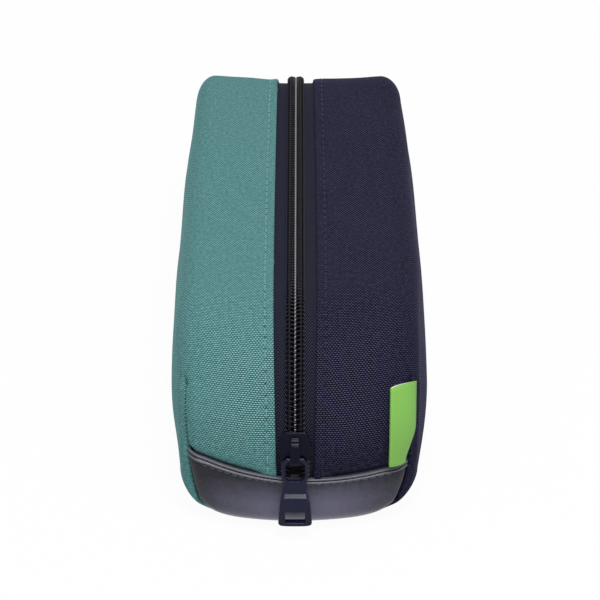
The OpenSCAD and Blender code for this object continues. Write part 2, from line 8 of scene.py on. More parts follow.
import bpy
import numpy as np
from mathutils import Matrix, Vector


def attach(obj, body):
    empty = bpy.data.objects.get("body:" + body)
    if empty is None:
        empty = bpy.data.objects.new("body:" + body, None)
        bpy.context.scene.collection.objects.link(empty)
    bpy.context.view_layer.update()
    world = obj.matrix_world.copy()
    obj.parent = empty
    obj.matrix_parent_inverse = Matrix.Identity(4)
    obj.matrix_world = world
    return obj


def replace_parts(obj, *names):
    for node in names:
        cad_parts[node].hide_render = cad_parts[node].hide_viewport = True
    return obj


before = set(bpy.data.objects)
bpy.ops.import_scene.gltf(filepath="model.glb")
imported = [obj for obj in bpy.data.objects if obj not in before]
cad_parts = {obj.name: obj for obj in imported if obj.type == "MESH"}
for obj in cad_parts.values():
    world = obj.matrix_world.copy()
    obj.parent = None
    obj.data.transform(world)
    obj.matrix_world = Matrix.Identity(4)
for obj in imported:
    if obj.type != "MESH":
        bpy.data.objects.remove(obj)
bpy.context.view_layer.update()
MM = 0.001
scene = bpy.context.scene

# %% [markdown]
# ## Camera
# The pouch was photographed from the front, looking down at 34 degrees with a long lens, so its
# sides run back almost parallel. A camera is placed first because every later choice is judged
# through it.

# %% Camera
CAMERA_AT = (0.0002, -0.69543, 0.48622)
LOOK_DOWN = 34.0
LENS = 150.0

camera = bpy.data.objects.new("camera", bpy.data.cameras.new("camera"))
camera.location = CAMERA_AT
camera.rotation_euler = (np.radians(90 - LOOK_DOWN), 0, 0)
camera.data.lens = LENS
camera.data.clip_start = 0.01
scene.collection.objects.link(camera)
scene.camera = camera
print("camera at", CAMERA_AT)

# %% [markdown]
# ## The form of the pouch
# Seen from the side the pouch is a closed line: a large arc over the front, a straight top, a
# tighter arc over the back, and a flat base with small corners. Carried sideways, that line stays
# flat for a while, rounds over an edge and shrinks to a spine inside each side. One function of
# two parameters gives the whole skin, so cloth, leather, tape and lining all fit each other. It is
# the formula that the CAD source uses, so the dressed pouch keeps the solid pouch's size.

# %% Sizes in millimetres
BODY_L, BODY_W, BODY_H = 200.0, 80.5, 60.0
FRONT_W, BACK_W = 78.0, 74.5
FRONT_R, BACK_R, BASE_R, EDGE_R = 45.0, 28.0, 6.5, 7.0
SIDE_SWELL, TOP_FALL = 2.5, 1.5
FRONT_BOW, BACK_BOW = 9.0, 4.0
BASE_LIFT, BASE_FLAT = 8.0, 36.0
TONGUE_H, TONGUE_RISE, TONGUE_SKEW = 19.4, 4.25, 2.5
SEAM_H, SEAM_TURN, SEAM_IN = 46.0, 24.0, 6.8
ZIP_OFF = 1.3
BACK_SAG, BACK_CORNER = 2.2, 1.4

SPINE_SPAN = BODY_H / 2
SPINE_Z = SPINE_SPAN - 2
SPINE_HALF = BODY_L / 2 - SPINE_SPAN
FLAT_HALF = BODY_W / 2 - SIDE_SWELL - EDGE_R
SIDE_START = EDGE_R / SPINE_SPAN
EDGE_ARC = EDGE_R * np.pi / 2

# Lateral places: 0 at the zip, 1 where the edge starts to round, 2 where the side starts, 3 at the spine
B_EDGE, B_SIDE, B_SPINE, B_SEAM = 1.0, 2.0, 3.0, 1.4
B_LOW = B_EDGE - SEAM_IN / FLAT_HALF

# Lengths along the closed line, from the top of the front arc backwards
TOP_LEN = BODY_L - FRONT_R - BACK_R
FRONT_ARC, BACK_ARC, BASE_ARC = FRONT_R * np.pi / 2, BACK_R * np.pi / 2, BASE_R * np.pi / 2
FRONT_WALL, BACK_WALL = BODY_H - FRONT_R - BASE_R, BODY_H - BACK_R - BASE_R
FLOOR_LEN = BODY_L - 2 * BASE_R
ROUND_LEN = TOP_LEN + FRONT_ARC + BACK_ARC + 2 * BASE_ARC + FRONT_WALL + BACK_WALL + FLOOR_LEN


def smooth(t):
    """A soft step from 0 to 1: three t squared less two t cubed, with t held between 0 and 1."""
    t = np.clip(t, 0, 1)
    return t * t * (3 - 2 * t)


def lerp(a, b, t):
    """The place at share t of the way from a to b."""
    return a + (b - a) * t


def bell(x, width):
    """A bell curve of height 1 that has fallen to 0.37 at one width."""
    return np.exp(-((x / width) ** 2))


# %% The line round the pouch
LEGS = np.cumsum([0, FRONT_ARC, TOP_LEN, BACK_ARC, BACK_WALL, BASE_ARC, FLOOR_LEN, BASE_ARC]) - FRONT_ARC


def station(s):
    """The end (-1 front, 1 back, 0 top or floor), height and y at length s along the closed line.

    Each leg is an arc, z = centre + radius * sin(angle), or a straight line.
    """
    s = (np.asarray(s, float) + FRONT_ARC) % ROUND_LEN - FRONT_ARC
    u = [s - leg for leg in LEGS]
    leg = np.searchsorted(LEGS, s, side="right") - 1
    end = np.choose(leg, [-1, 0, 1, 1, 1, 0, -1, -1])
    z = np.choose(leg, [
        BODY_H - FRONT_R + FRONT_R * np.sin(u[0] / FRONT_R),
        np.full_like(s, BODY_H),
        BODY_H - BACK_R + BACK_R * np.cos(u[2] / BACK_R),
        BODY_H - BACK_R - u[3],
        BASE_R * (1 - np.sin(u[4] / BASE_R)),
        np.zeros_like(s),
        BASE_R * (1 - np.cos(u[6] / BASE_R)),
        BASE_R + u[7]])
    y = np.choose(leg, [s, FRONT_R - BODY_L / 2 + u[1], s, s, s, BODY_L / 2 - BASE_R - u[5], s, s])
    return end, z, y


def line_length(end, z):
    """The length s at height z on the arc or wall above the base corner of one end."""
    radius, start = np.where(end < 0, FRONT_R, BACK_R), np.where(end < 0, 0.0, TOP_LEN)
    rise = np.arcsin(np.clip((z - BODY_H + radius) / radius, 0, 1))
    return start + end * (radius * (np.pi / 2 - rise) + np.maximum(0.0, BODY_H - radius - z))


S_FRONT, S_BACK = line_length(-1, TONGUE_H), line_length(1, TONGUE_H)
S_UNDER = S_FRONT + ROUND_LEN
CORNER_ROWS = 36
print(f"line round the pouch {ROUND_LEN:.1f} mm, cloth from {S_FRONT:.1f} to {S_BACK:.1f} mm")


# %% The skin
def on_end(end, z):
    """y and the normal (y, z) on an end: a large arc above, a wall, and a small arc below."""
    radius = np.where(end < 0, FRONT_R, BACK_R)
    high = np.clip((z - BODY_H + radius) / radius, 0, 1)
    low = np.clip((BASE_R - z) / BASE_R, 0, 1)
    over, under = np.sqrt(1 - high**2), np.sqrt(1 - low**2)
    y = np.where(high > 0, BODY_L / 2 - radius + radius * over, BODY_L / 2 - BASE_R + BASE_R * under)
    return end * y, end * np.where(high > 0, over, under), high - low


def sideways(b):
    """Distance from the middle at lateral place b: flat, then round the edge, then swelling out."""
    place = np.abs(b)
    turn = np.clip(place - B_EDGE, 0, 1) * np.pi / 2
    side = np.clip(place - B_SIDE, 0, 1)
    return np.minimum(place, 1) * FLAT_HALF + EDGE_R * np.sin(turn) + SIDE_SWELL * np.sin(side * np.pi / 2)


def lifted_station(s, b):
    """The station at length s, lifted on the ends as the leather's edge curves up and lies askew."""
    reach = 2 * sideways(b) / BODY_W
    end, z, y = station(s)
    fade = np.where(z > TONGUE_H, (BODY_H - z) / (BODY_H - TONGUE_H), (z - BASE_R) / (TONGUE_H - BASE_R))
    rise = TONGUE_RISE * reach**2 - TONGUE_SKEW * np.where(b < 0, -1.0, 1.0) * reach
    return end, z + np.where(end == 0, 0, rise * np.maximum(fade, 0)), y


def skin(s, b, depth):
    """Point of the pouch at length s and lateral place b, at a depth below its outer face, in metres.

    The line's point sinks by depth along its normal, is drawn to the spine by the edge's rounding,
    is set back by a bow that grows with the square of x, and is scaled in width along y. The base's
    long edges are lifted, the leather's edge is sewn askew, and the zip lies left of the middle.
    Over the back the soft top sags along the zip and stands up at its two corners.
    """
    s, b, depth = np.broadcast_arrays(s, b, depth)
    hand = np.where(b < 0, -1.0, 1.0)
    place = np.abs(b)
    turn = np.clip(place - B_EDGE, 0, 1) * np.pi / 2
    side = np.clip(place - B_SIDE, 0, 1)
    x = sideways(b)
    inward = EDGE_R * (1 - np.cos(turn)) / SPINE_SPAN + (1 - SIDE_START) * side
    out = (2 * x / BODY_W) ** 2
    end, z, y = lifted_station(s, b)
    end_y, normal_y, normal_z = on_end(end, z)
    y = np.where(end == 0, y, end_y)
    normal_y = np.where(end == 0, 0, normal_y)
    normal_z = np.where(end == 0, np.where(z > 0, 1, -1), normal_z)
    sink = depth * np.cos(turn) + TOP_FALL * np.maximum(normal_z, 0) * out
    sink = sink + bell(s - TOP_LEN - 14, 18) * (BACK_SAG * bell(x, 22) - BACK_CORNER * bell(x - 35, 9))
    beyond = np.maximum(0, (x - BASE_FLAT / 2) / (BODY_W / 2 - BASE_FLAT / 2))
    lift = BASE_LIFT * beyond**2 * np.maximum(0, 1 - z / SEAM_TURN) ** 2
    y_in = lerp(y - sink * normal_y, np.clip(y, -SPINE_HALF, SPINE_HALF), inward)
    z_in = lerp(z + lift - sink * normal_z, SPINE_Z, inward)
    u = 2 * y_in / BODY_L
    share = 1 + ((BACK_W - FRONT_W) / 2 * u + ((BACK_W + FRONT_W) / 2 - BODY_W) * u * u) / BODY_W
    bow = np.where(y_in < 0, FRONT_BOW, BACK_BOW) * u * out
    across = (x - depth * np.sin(turn)) * share
    return np.stack([hand * across - ZIP_OFF * (1 - out), y_in - bow, z_in], -1) * MM


def rows_below(upper, side):
    """Lengths under the pouch whose points meet those of the upper rows along the spine.

    On the floor a length is its start, plus half the floor, less the y of an upper row at the spine.
    """
    end, z, y = lifted_station(upper, side * B_SPINE)
    y = np.where(end == 0, y, on_end(end, z)[0])
    y = np.sort(y[np.abs(y) < SPINE_HALF])[::-1]
    half_way = LEGS[5] + BODY_L / 2 - BASE_R
    back = np.linspace(S_BACK, half_way - SPINE_HALF, CORNER_ROWS)[1:]
    front = np.linspace(half_way + SPINE_HALF, S_UNDER, CORNER_ROWS)[:-1]
    return np.concatenate([back, half_way - y, front])


def seam_place(s):
    """Lateral place of the corner seam: it turns in towards the base with the square of the height."""
    _, z, _ = station(s)
    return lerp(B_SEAM, B_LOW, np.maximum(0, 1 - z / SEAM_TURN) ** 2)


def girth(b):
    """Distance over the skin from the zip to lateral place b, in millimetres."""
    b = np.abs(b)
    return (np.minimum(b, 1) * FLAT_HALF + np.clip(b - 1, 0, 1) * EDGE_ARC
            + np.clip(b - 2, 0, 1) * (SPINE_SPAN - EDGE_R))


# %% [markdown]
# ## From arrays to objects
# A grid of points becomes quads by joining each point to its neighbours in the next row and the
# next column. One helper makes the quads, and one puts points, faces, UVs and a material into an
# object that rides on a body of the frame.

# %% Grids and pieces
def grid_faces(rows, cols, around_rows=False, around_cols=False):
    """Quads of a grid of points. A closed direction joins its last line of points to its first."""
    last_row, last_col = rows - (not around_rows), cols - (not around_cols)
    i, j = np.meshgrid(np.arange(last_row), np.arange(last_col), indexing="ij")
    below, right = (i + 1) % rows, (j + 1) % cols
    quads = [i * cols + j, below * cols + j, below * cols + right, i * cols + right]
    return np.stack(quads, -1).reshape(-1, 4)


def make_piece(name, points, faces, materials, body="pouch", uv=None):
    """A mesh object from points in metres, faces as point numbers, and UVs given for each corner."""
    mesh = bpy.data.meshes.new(name)
    mesh.from_pydata(np.asarray(points).reshape(-1, 3).tolist(), [], [list(f) for f in faces])
    if uv is not None:
        mesh.uv_layers.new(name="cloth").data.foreach_set("uv", np.asarray(uv, np.float32).ravel())
    for material in materials:
        mesh.materials.append(material)
    mesh.polygons.foreach_set("use_smooth", np.ones(len(mesh.polygons), bool))
    mesh.update()
    piece = bpy.data.objects.new(name, mesh)
    scene.collection.objects.link(piece)
    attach(piece, body)
    print(f"{name}: {len(mesh.vertices)} points, {len(mesh.polygons)} faces")
    return piece


def thicken(piece, millimetres, inside=0):
    """Gives a sheet its thickness on the side away from its normals."""
    wall = piece.modifiers.new("thickness", "SOLIDIFY")
    wall.thickness, wall.offset, wall.material_offset = millimetres * MM, -1, inside
    wall.use_even_offset = False
    return piece


def waves(points, seed, length, count=9):
    """Soft unevenness of the cloth: a sum of sines that cross the pouch in all directions."""
    draw = np.random.default_rng(seed)
    way = draw.normal(size=(count, 3))
    way /= np.linalg.norm(way, axis=1, keepdims=True)
    pitch = length * draw.uniform(0.7, 1.6, count)
    phase = draw.uniform(0, 2 * np.pi, count)
    return np.sin(points / MM @ (way / pitch[:, None]).T * 2 * np.pi + phase).sum(-1) / np.sqrt(count)


# %% [markdown]
# ## Finishes: colours and nodes
# Colours are written as on a screen, in sRGB hex, and Blender works in linear light, so one function
# turns them. One more function adds any shader node with its settings and its links, which keeps
# the materials below short enough to read.

# %% Colour and node helpers
def linear(colour):
    """Linear RGBA of an sRGB hex: c / 12.92 for dark values, else ((c + 0.055) / 1.055) ** 2.4."""
    c = np.array([int(colour[i:i + 2], 16) for i in (1, 3, 5)]) / 255
    return (*np.where(c <= 0.04045, c / 12.92, ((c + 0.055) / 1.055) ** 2.4), 1.0)


def node(tree, kind, inputs=None, **settings):
    """Adds one node: settings are its own properties, inputs are values or other nodes' outputs."""
    made = tree.nodes.new("ShaderNode" + kind)
    for key, value in settings.items():
        setattr(made, key, value)
    for key, value in (inputs or {}).items():
        if isinstance(value, bpy.types.NodeSocket):
            tree.links.new(value, made.inputs[key])
        else:
            made.inputs[key].default_value = value
    return made


def finish_of(name, **shader):
    """A new material and its tree, with constants set on the Principled shader's own sockets."""
    material = bpy.data.materials.new(name)
    material.use_nodes = True
    for key, value in shader.items():
        material.node_tree.nodes["Principled BSDF"].inputs[key.replace("_", " ")].default_value = value
    return material, material.node_tree, material.node_tree.nodes["Principled BSDF"]


# %% [markdown]
# ## Woven cloth
# The body is a polyester oxford cloth: thick yarns in a plain weave. The eye sees rows of small
# bright dashes, each one a yarn passing over another, set like bricks. The pattern is worked out
# from the piece's UV map, which is in millimetres across and along the cloth. A sine along gives the
# rows, and its sign moves the dashes of every second row by half a dash.

# %% Woven cloth
# Width of a dash and height of a row, in millimetres
YARN_ACROSS, YARN_ALONG = 0.48, 0.64


def woven_cloth(name, light, mid, dark, sheen):
    """Plain weave: dash = a sine across, turned over in every second row; row = power of a sine along.

    The cloth is stretched flat on the top, low on the walls and towards the corners, so its yarns
    show less there. Loose fibres give it a faint sheen towards its outline.
    """
    material, tree, shader = finish_of(name, Roughness=0.85, IOR=1.5)
    shader.inputs["Specular IOR Level"].default_value = 0.06
    shader.inputs["Sheen Weight"].default_value = sheen
    shader.inputs["Sheen Roughness"].default_value = 0.4
    shader.inputs["Sheen Tint"].default_value = linear(light)
    place = node(tree, "UVMap", uv_map="cloth").outputs["UV"]
    wobble = node(tree, "TexNoise", {"Vector": place, "Scale": 0.12, "Detail": 2.0}).outputs["Color"]
    bent = node(tree, "VectorMath", {0: wobble, 1: (0.5, 0.5, 0.5)}, operation="SUBTRACT").outputs[0]
    moved = node(tree, "VectorMath", {0: bent, 1: (0.5, 0.5, 0.0), 2: place},
                 operation="MULTIPLY_ADD").outputs[0]
    turned = node(tree, "VectorMath", {0: moved, 1: (np.pi / YARN_ACROSS, np.pi / YARN_ALONG, 0)},
                  operation="MULTIPLY").outputs[0]
    axes = node(tree, "SeparateXYZ", {0: turned}).outputs
    warp = node(tree, "Math", {0: axes[0]}, operation="SINE").outputs[0]
    weft = node(tree, "Math", {0: axes[1]}, operation="SINE").outputs[0]
    parity = node(tree, "Math", {0: weft}, operation="SIGN").outputs[0]
    brick = node(tree, "Math", {0: warp, 1: parity}, operation="MULTIPLY").outputs[0]
    dash = node(tree, "MapRange", {0: brick, 1: -1.9, 2: 0.5}).outputs[0]
    size = node(tree, "Math", {0: weft}, operation="ABSOLUTE").outputs[0]
    row = node(tree, "Math", {0: size, 1: 1.8}, operation="POWER").outputs[0]
    proud = node(tree, "Math", {0: dash, 1: row}, operation="MULTIPLY").outputs[0]
    spot = node(tree, "SeparateXYZ", {0: node(tree, "TexCoord").outputs["Object"]}).outputs
    aside = node(tree, "Math", {0: spot[0]}, operation="ABSOLUTE").outputs[0]
    low = node(tree, "MapRange", {0: spot[2], 1: 36 * MM, 2: 22 * MM, 3: 0.0, 4: 0.8}).outputs[0]
    high = node(tree, "MapRange", {0: spot[2], 1: 46 * MM, 2: 57 * MM, 3: 0.0, 4: 0.5}).outputs[0]
    wide = node(tree, "MapRange", {0: aside, 1: 14 * MM, 2: 32 * MM, 3: 0.0, 4: 0.6}).outputs[0]
    taut = node(tree, "Math", {0: low, 1: high}, operation="MAXIMUM").outputs[0]
    flat = node(tree, "Math", {0: taut, 1: wide}, operation="MAXIMUM").outputs[0]
    shown = node(tree, "Mix", {0: flat, 2: proud, 3: 0.45}).outputs[0]
    patch = node(tree, "TexNoise", {"Vector": place, "Scale": 0.9, "Detail": 3.0}).outputs["Fac"]
    mixed = node(tree, "Math", {0: patch, 1: 0.4, 2: shown}, operation="MULTIPLY_ADD").outputs[0]
    ramp = node(tree, "ValToRGB", {0: mixed})
    ramp.color_ramp.elements[0].position, ramp.color_ramp.elements[0].color = 0.15, linear(dark)
    ramp.color_ramp.elements[1].position, ramp.color_ramp.elements[1].color = 1.0, linear(light)
    ramp.color_ramp.elements.new(0.6).color = linear(mid)
    tree.links.new(ramp.outputs[0], shader.inputs["Base Color"])
    bump = node(tree, "Bump", {"Height": shown, "Strength": 0.8, "Distance": 0.14 * MM})
    tree.links.new(bump.outputs[0], shader.inputs["Normal"])
    return material


teal_cloth = woven_cloth("oxford_cloth_teal", "#94C4C4", "#447576", "#184040", 0.25)
navy_cloth = woven_cloth("oxford_cloth_navy", "#504F6A", "#111022", "#030309", 0.3)
print("woven cloth:", teal_cloth.name, navy_cloth.name)

# %% [markdown]
# ## The two cloth halves
# Each half is one piece of cloth. It is folded under along the zip and topstitched, wraps over the
# edge and down the side, and is tucked into a corner seam at each end. A bag is a shell that sags
# and puckers, so the plain skin is pushed in and out: a groove under the stitches, a tuck along the
# seams, a soft swelling beside them and a little unevenness all over. Cloth simulation could do it
# too, but a formula keeps the folds exactly where the real seams pull.

# %% Where the cloth edges and seams lie
ZIP_WINDOW, ZIP_WINDOW_END = 6.71, 5.71
STITCH_IN, STITCH_PITCH = 2.7, 3.7
CLOTH_T = 0.4
LEFT_SEAM_H = 43.5

# The folded edge as (distance from the cloth edge, depth), from the turned-under side round to the top
HEM = np.array([(4.5, 0.95), (2.5, 0.95), (0.7, 0.93), (0.25, 0.82), (0.02, 0.55), (0.0, 0.4), (0.1, 0.2),
                (0.35, 0.06), (0.7, 0.0), (1.2, 0.0), (1.7, 0.0), (2.0, 0.0), (2.3, 0.0), (2.5, 0.0),
                (2.7, 0.0), (2.9, 0.0), (3.1, 0.0), (3.5, 0.0), (4.0, 0.0), (5.0, 0.0)])


def zip_edge(s):
    """Distance of the cloth edge from the zip's middle: a little wider on the top than at the ends."""
    end, z, _ = station(s)
    _, _, normal_z = on_end(np.where(end == 0, 1, end), z)
    return lerp(ZIP_WINDOW_END, ZIP_WINDOW, np.clip(normal_z, 0, 1))


def seam_depth(s, away, top=SEAM_H):
    """Depth beside the corner seam: a sharp groove at the seam and a swelling to either side.

    The pull is full low down and gone above the seam's top, where a dimple marks the last stitch.
    Nothing swells below the base.
    """
    _, z, _ = station(s)
    pull = smooth((top - z) / 4)
    groove = 2.5 * bell(away, 0.4) - 0.5 * bell(np.abs(away) - 3.2, 2.4) * smooth(z / 8)
    return pull * groove + 1.1 * bell(away, 1.1) * bell(z - top + 2.5, 1.6)


def leather_tuck(s):
    """Depth of the cloth near the leather's edge, where it is sewn down: a tuck, then a swelling."""
    near = np.minimum(np.abs(s - S_FRONT), np.abs(S_BACK - s))
    return 1.2 * bell(near, 1.1) + 0.5 * bell(near, 4.0) - 1.2 * bell(near - 15, 9.0)


def cloth_depth(s, b, side, seed):
    """How far the cloth lies below the plain skin: stitch groove, puckers, tucks, seams and sag."""
    plain = skin(s, side * b, 0.0)
    from_edge = b * FLAT_HALF - zip_edge(s)
    away = girth(b) - girth(seam_place(s))
    hole = bell((s / STITCH_PITCH + 0.5) % 1 - 0.5, 0.1)
    groove = bell(from_edge - STITCH_IN, 0.4) * (0.16 + 0.5 * hole)
    pucker = 0.16 * waves(plain, seed, 11.0) * bell(from_edge - 1.5, 4.0)
    tuck = leather_tuck(s) * ((s < S_BACK) & (away < 0)) * smooth((from_edge - 1) / 9)
    seam = seam_depth(s, away, SEAM_H if side > 0 else LEFT_SEAM_H) * (np.abs(away) < 9)
    sag = 0.32 * waves(plain, seed + 1, 42.0) * smooth((from_edge - 4) / 10) * smooth((B_SPINE - b) / 0.9)
    return groove + pucker + tuck + seam + sag


# %% Cloth halves
FINE_STEP = 0.62
PLAIN_STEPS, EDGE_STEPS, SIDE_STEPS = 14, 16, 18


def half_rings(s):
    """Lateral place and hem depth of every ring at lengths s: hem, plain top, edge and side."""
    hem_x = zip_edge(s)[:, None] + HEM[:, 0]
    seam = seam_place(s)[:, None]
    plain = lerp(hem_x[:, -1:] / FLAT_HALF, B_EDGE, np.linspace(0, 1, PLAIN_STEPS)[1:])
    to_seam = seam - (seam - B_EDGE) * np.linspace(1, 0, EDGE_STEPS)[1:] ** 1.6
    from_seam = seam + (B_SIDE - seam) * np.linspace(0, 1, EDGE_STEPS)[1:] ** 1.6
    side = np.broadcast_to(B_SIDE + np.linspace(0, 1, SIDE_STEPS)[1:], (len(s), SIDE_STEPS - 1))
    b = np.concatenate([hem_x / FLAT_HALF, plain, to_seam, from_seam, side], 1)
    hem = np.concatenate([HEM[:, 1], np.zeros(b.shape[1] - len(HEM))])
    seam_ring = len(HEM) + PLAIN_STEPS + EDGE_STEPS - 3
    return b, np.broadcast_to(hem, b.shape), seam_ring, seam_ring + EDGE_STEPS - 1


def cloth_half(name, side, material, seed):
    """One half of the cloth on a grid of length by lateral place, pushed in and out by its seams.

    Under the leather's edge only the rings beyond the corner seam are kept.
    """
    upper = np.linspace(S_FRONT, S_BACK, int((S_BACK - S_FRONT) / FINE_STEP))
    s = np.concatenate([upper, rows_below(upper, side)])
    b, hem, seam, side_ring = half_rings(s)
    rows, cols = b.shape
    length = np.broadcast_to(s[:, None], b.shape)
    under = np.arange(cols) < np.argmin(HEM[:, 0])
    depth = hem + np.where(under, 0.0, cloth_depth(length, b, side, seed))
    points = skin(length, side * b, depth)
    faces = grid_faces(rows, cols, around_rows=True)
    row, col = faces[:, 0] // cols, faces[:, 0] % cols
    kept = (col >= seam) | (row < len(upper) - 1)
    faces, col = faces[kept], col[kept]
    end, height, _ = lifted_station(length, side * b)
    rows_uv = np.where(end == 0, length, line_length(end, height))
    top_uv = np.stack([girth(b), rows_uv], -1).reshape(-1, 2)
    drop = girth(B_SEAM) + BODY_H - points[..., 2] / MM
    side_uv = np.stack([drop, points[..., 1] / MM + BODY_L / 2 - FRONT_R], -1).reshape(-1, 2)
    uv = np.where((col >= side_ring)[:, None, None], side_uv[faces], top_uv[faces])
    if side > 0:
        faces, uv = faces[:, ::-1], uv[:, ::-1]
    used, faces = np.unique(faces, return_inverse=True)
    piece = make_piece(name, points.reshape(-1, 3)[used], faces.reshape(-1, 4), [material], uv=uv)
    piece.modifiers.new("close the spine", "WELD").merge_threshold = 0.002 * MM
    return thicken(piece, CLOTH_T)


LEFT_SEED, RIGHT_SEED = 11, 23
left_cloth = cloth_half("left_body_cloth", -1, teal_cloth, LEFT_SEED)
right_cloth = cloth_half("right_body_cloth", 1, navy_cloth, RIGHT_SEED)
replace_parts(left_cloth, "left_body_panel")
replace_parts(right_cloth, "right_body_panel")

# %% [markdown]
# ## Thread
# Sewing thread is a thin round cord of twisted polyester. Each stitch comes up through a needle
# hole, lies on the cloth for a few millimetres and goes down again. A stitch is a short tube on an
# arched path, and all the stitches of a seam are worked out at once as one array.

# %% Tubes and stitches
def tube(path, toward, wide, high, sides=6):
    """Points of a tube: an oval ring of given half width and half height carried along a path.

    The ring's height points toward a given direction, made square to the path.
    """
    ahead = np.gradient(path, axis=-2)
    ahead /= np.linalg.norm(ahead, axis=-1, keepdims=True)
    up = toward - (toward * ahead).sum(-1, keepdims=True) * ahead
    up /= np.linalg.norm(up, axis=-1, keepdims=True)
    across = np.cross(ahead, up)
    turn = np.linspace(0, 2 * np.pi, sides, endpoint=False)[:, None]
    wide, high = (np.asarray(v)[..., None, None] * MM for v in (wide, high))
    upward = up[..., None, :] * high * np.cos(turn)
    outward = across[..., None, :] * wide * np.sin(turn)
    return path[..., None, :] + upward + outward


def tube_faces(count, steps, sides):
    """Faces of several equal tubes, each with its two ends closed."""
    ring = np.arange(sides)
    first = (np.arange(count) * steps * sides)[:, None]
    walls = grid_faces(steps, sides, around_cols=True)[:, ::-1]
    walls = (first[:, None] + walls).reshape(-1, 4)
    return [*walls.tolist(), *(first + ring[::-1]).tolist(), *(first + (steps - 1) * sides + ring).tolist()]


def spun_thread(name, colour):
    """Polyester sewing thread: a soft gloss, and fine slanting bands where the plies twist."""
    material, tree, shader = finish_of(name, Roughness=0.5, IOR=1.5)
    shader.inputs["Specular IOR Level"].default_value = 0.12
    place = node(tree, "TexCoord").outputs["Object"]
    ply = node(tree, "TexNoise", {"Vector": place, "Scale": 1 / (0.5 * MM), "Detail": 1.0}).outputs["Fac"]
    ramp = node(tree, "ValToRGB", {0: ply})
    ramp.color_ramp.elements[0].position, ramp.color_ramp.elements[1].position = 0.25, 0.75
    ramp.color_ramp.elements[0].color = tuple(0.6 * c for c in linear(colour)[:3]) + (1,)
    ramp.color_ramp.elements[1].color = linear(colour)
    tree.links.new(ramp.outputs[0], shader.inputs["Base Color"])
    return material


teal_thread = spun_thread("polyester_thread_teal", "#7AACA9")
navy_thread = spun_thread("polyester_thread_navy", "#2E2D43")
dark_thread_and_hole_shade = spun_thread("polyester_thread_dark_and_hole_shade", "#15151F")
hole_shade_teal = spun_thread("needle_hole_shade_teal", "#234F4D")
grey_thread = spun_thread("polyester_thread_grey", "#6C6C84")

# %% Topstitches beside the zip
STITCH_L, THREAD_WIDE, THREAD_HIGH = 2.9, 0.25, 0.19
STITCH_SHAPE = np.linspace(0, 1, 8)
STITCH_ARCH = np.sin(np.pi * STITCH_SHAPE) ** 0.5
STITCH_SIDES = 6


def topstitch(name, side, material, slot, seed, shift=0.0, length=STITCH_L, proud=0.3):
    """Stitches along the zip, a set distance from the cloth edge, each one arched over the cloth."""
    start = np.arange(S_FRONT + 1.5, S_BACK - 4, STITCH_PITCH)
    start = np.round(start / STITCH_PITCH) * STITCH_PITCH + shift + (STITCH_PITCH - length) / 2
    s = start[:, None] + length * STITCH_SHAPE
    b = (zip_edge(s) + STITCH_IN) / FLAT_HALF
    path = skin(s, side * b, cloth_depth(s, b, side, seed) - proud * STITCH_ARCH + 0.22)
    away = skin(s, side * b, -1.0) - skin(s, side * b, 0.0)
    points = tube(path, away, np.full(s.shape, THREAD_WIDE), np.full(s.shape, THREAD_HIGH), STITCH_SIDES)
    faces = tube_faces(len(start), len(STITCH_SHAPE), STITCH_SIDES)
    return make_piece(name, points, faces, [material])


topstitch("left_topstitch", -1, teal_thread, "teal_cloth", LEFT_SEED)
topstitch("right_topstitch", 1, navy_thread, "navy_cloth", RIGHT_SEED)

# %% [markdown]
# ## Needle holes
# Between two stitches the thread goes down through the cloth, and the hole lies in shade. That shade is
# painted: short dark stitches, half a pitch further on and almost sunk.

# %% Painted shade in the needle holes
HOLE = {"shift": STITCH_PITCH / 2, "length": 0.9, "proud": 0.2}
# Short dark stitches stand in for the shade in the needle holes: painted shade.
topstitch("left_needle_hole_shade", -1, hole_shade_teal, "teal_cloth", LEFT_SEED, **HOLE)
topstitch("right_needle_hole_shade", 1, dark_thread_and_hole_shade, "navy_cloth", RIGHT_SEED, **HOLE)

# %% [markdown]
# ## The faux leather base
# The base is a strip of coated fabric that imitates leather. Its two ends are turned in and sewn, so
# each shows a double bead along its edge, with a row of dark stitches below it. The strip is a grid
# again: length round the base by lateral place. A few points give the section of the beaded edge.

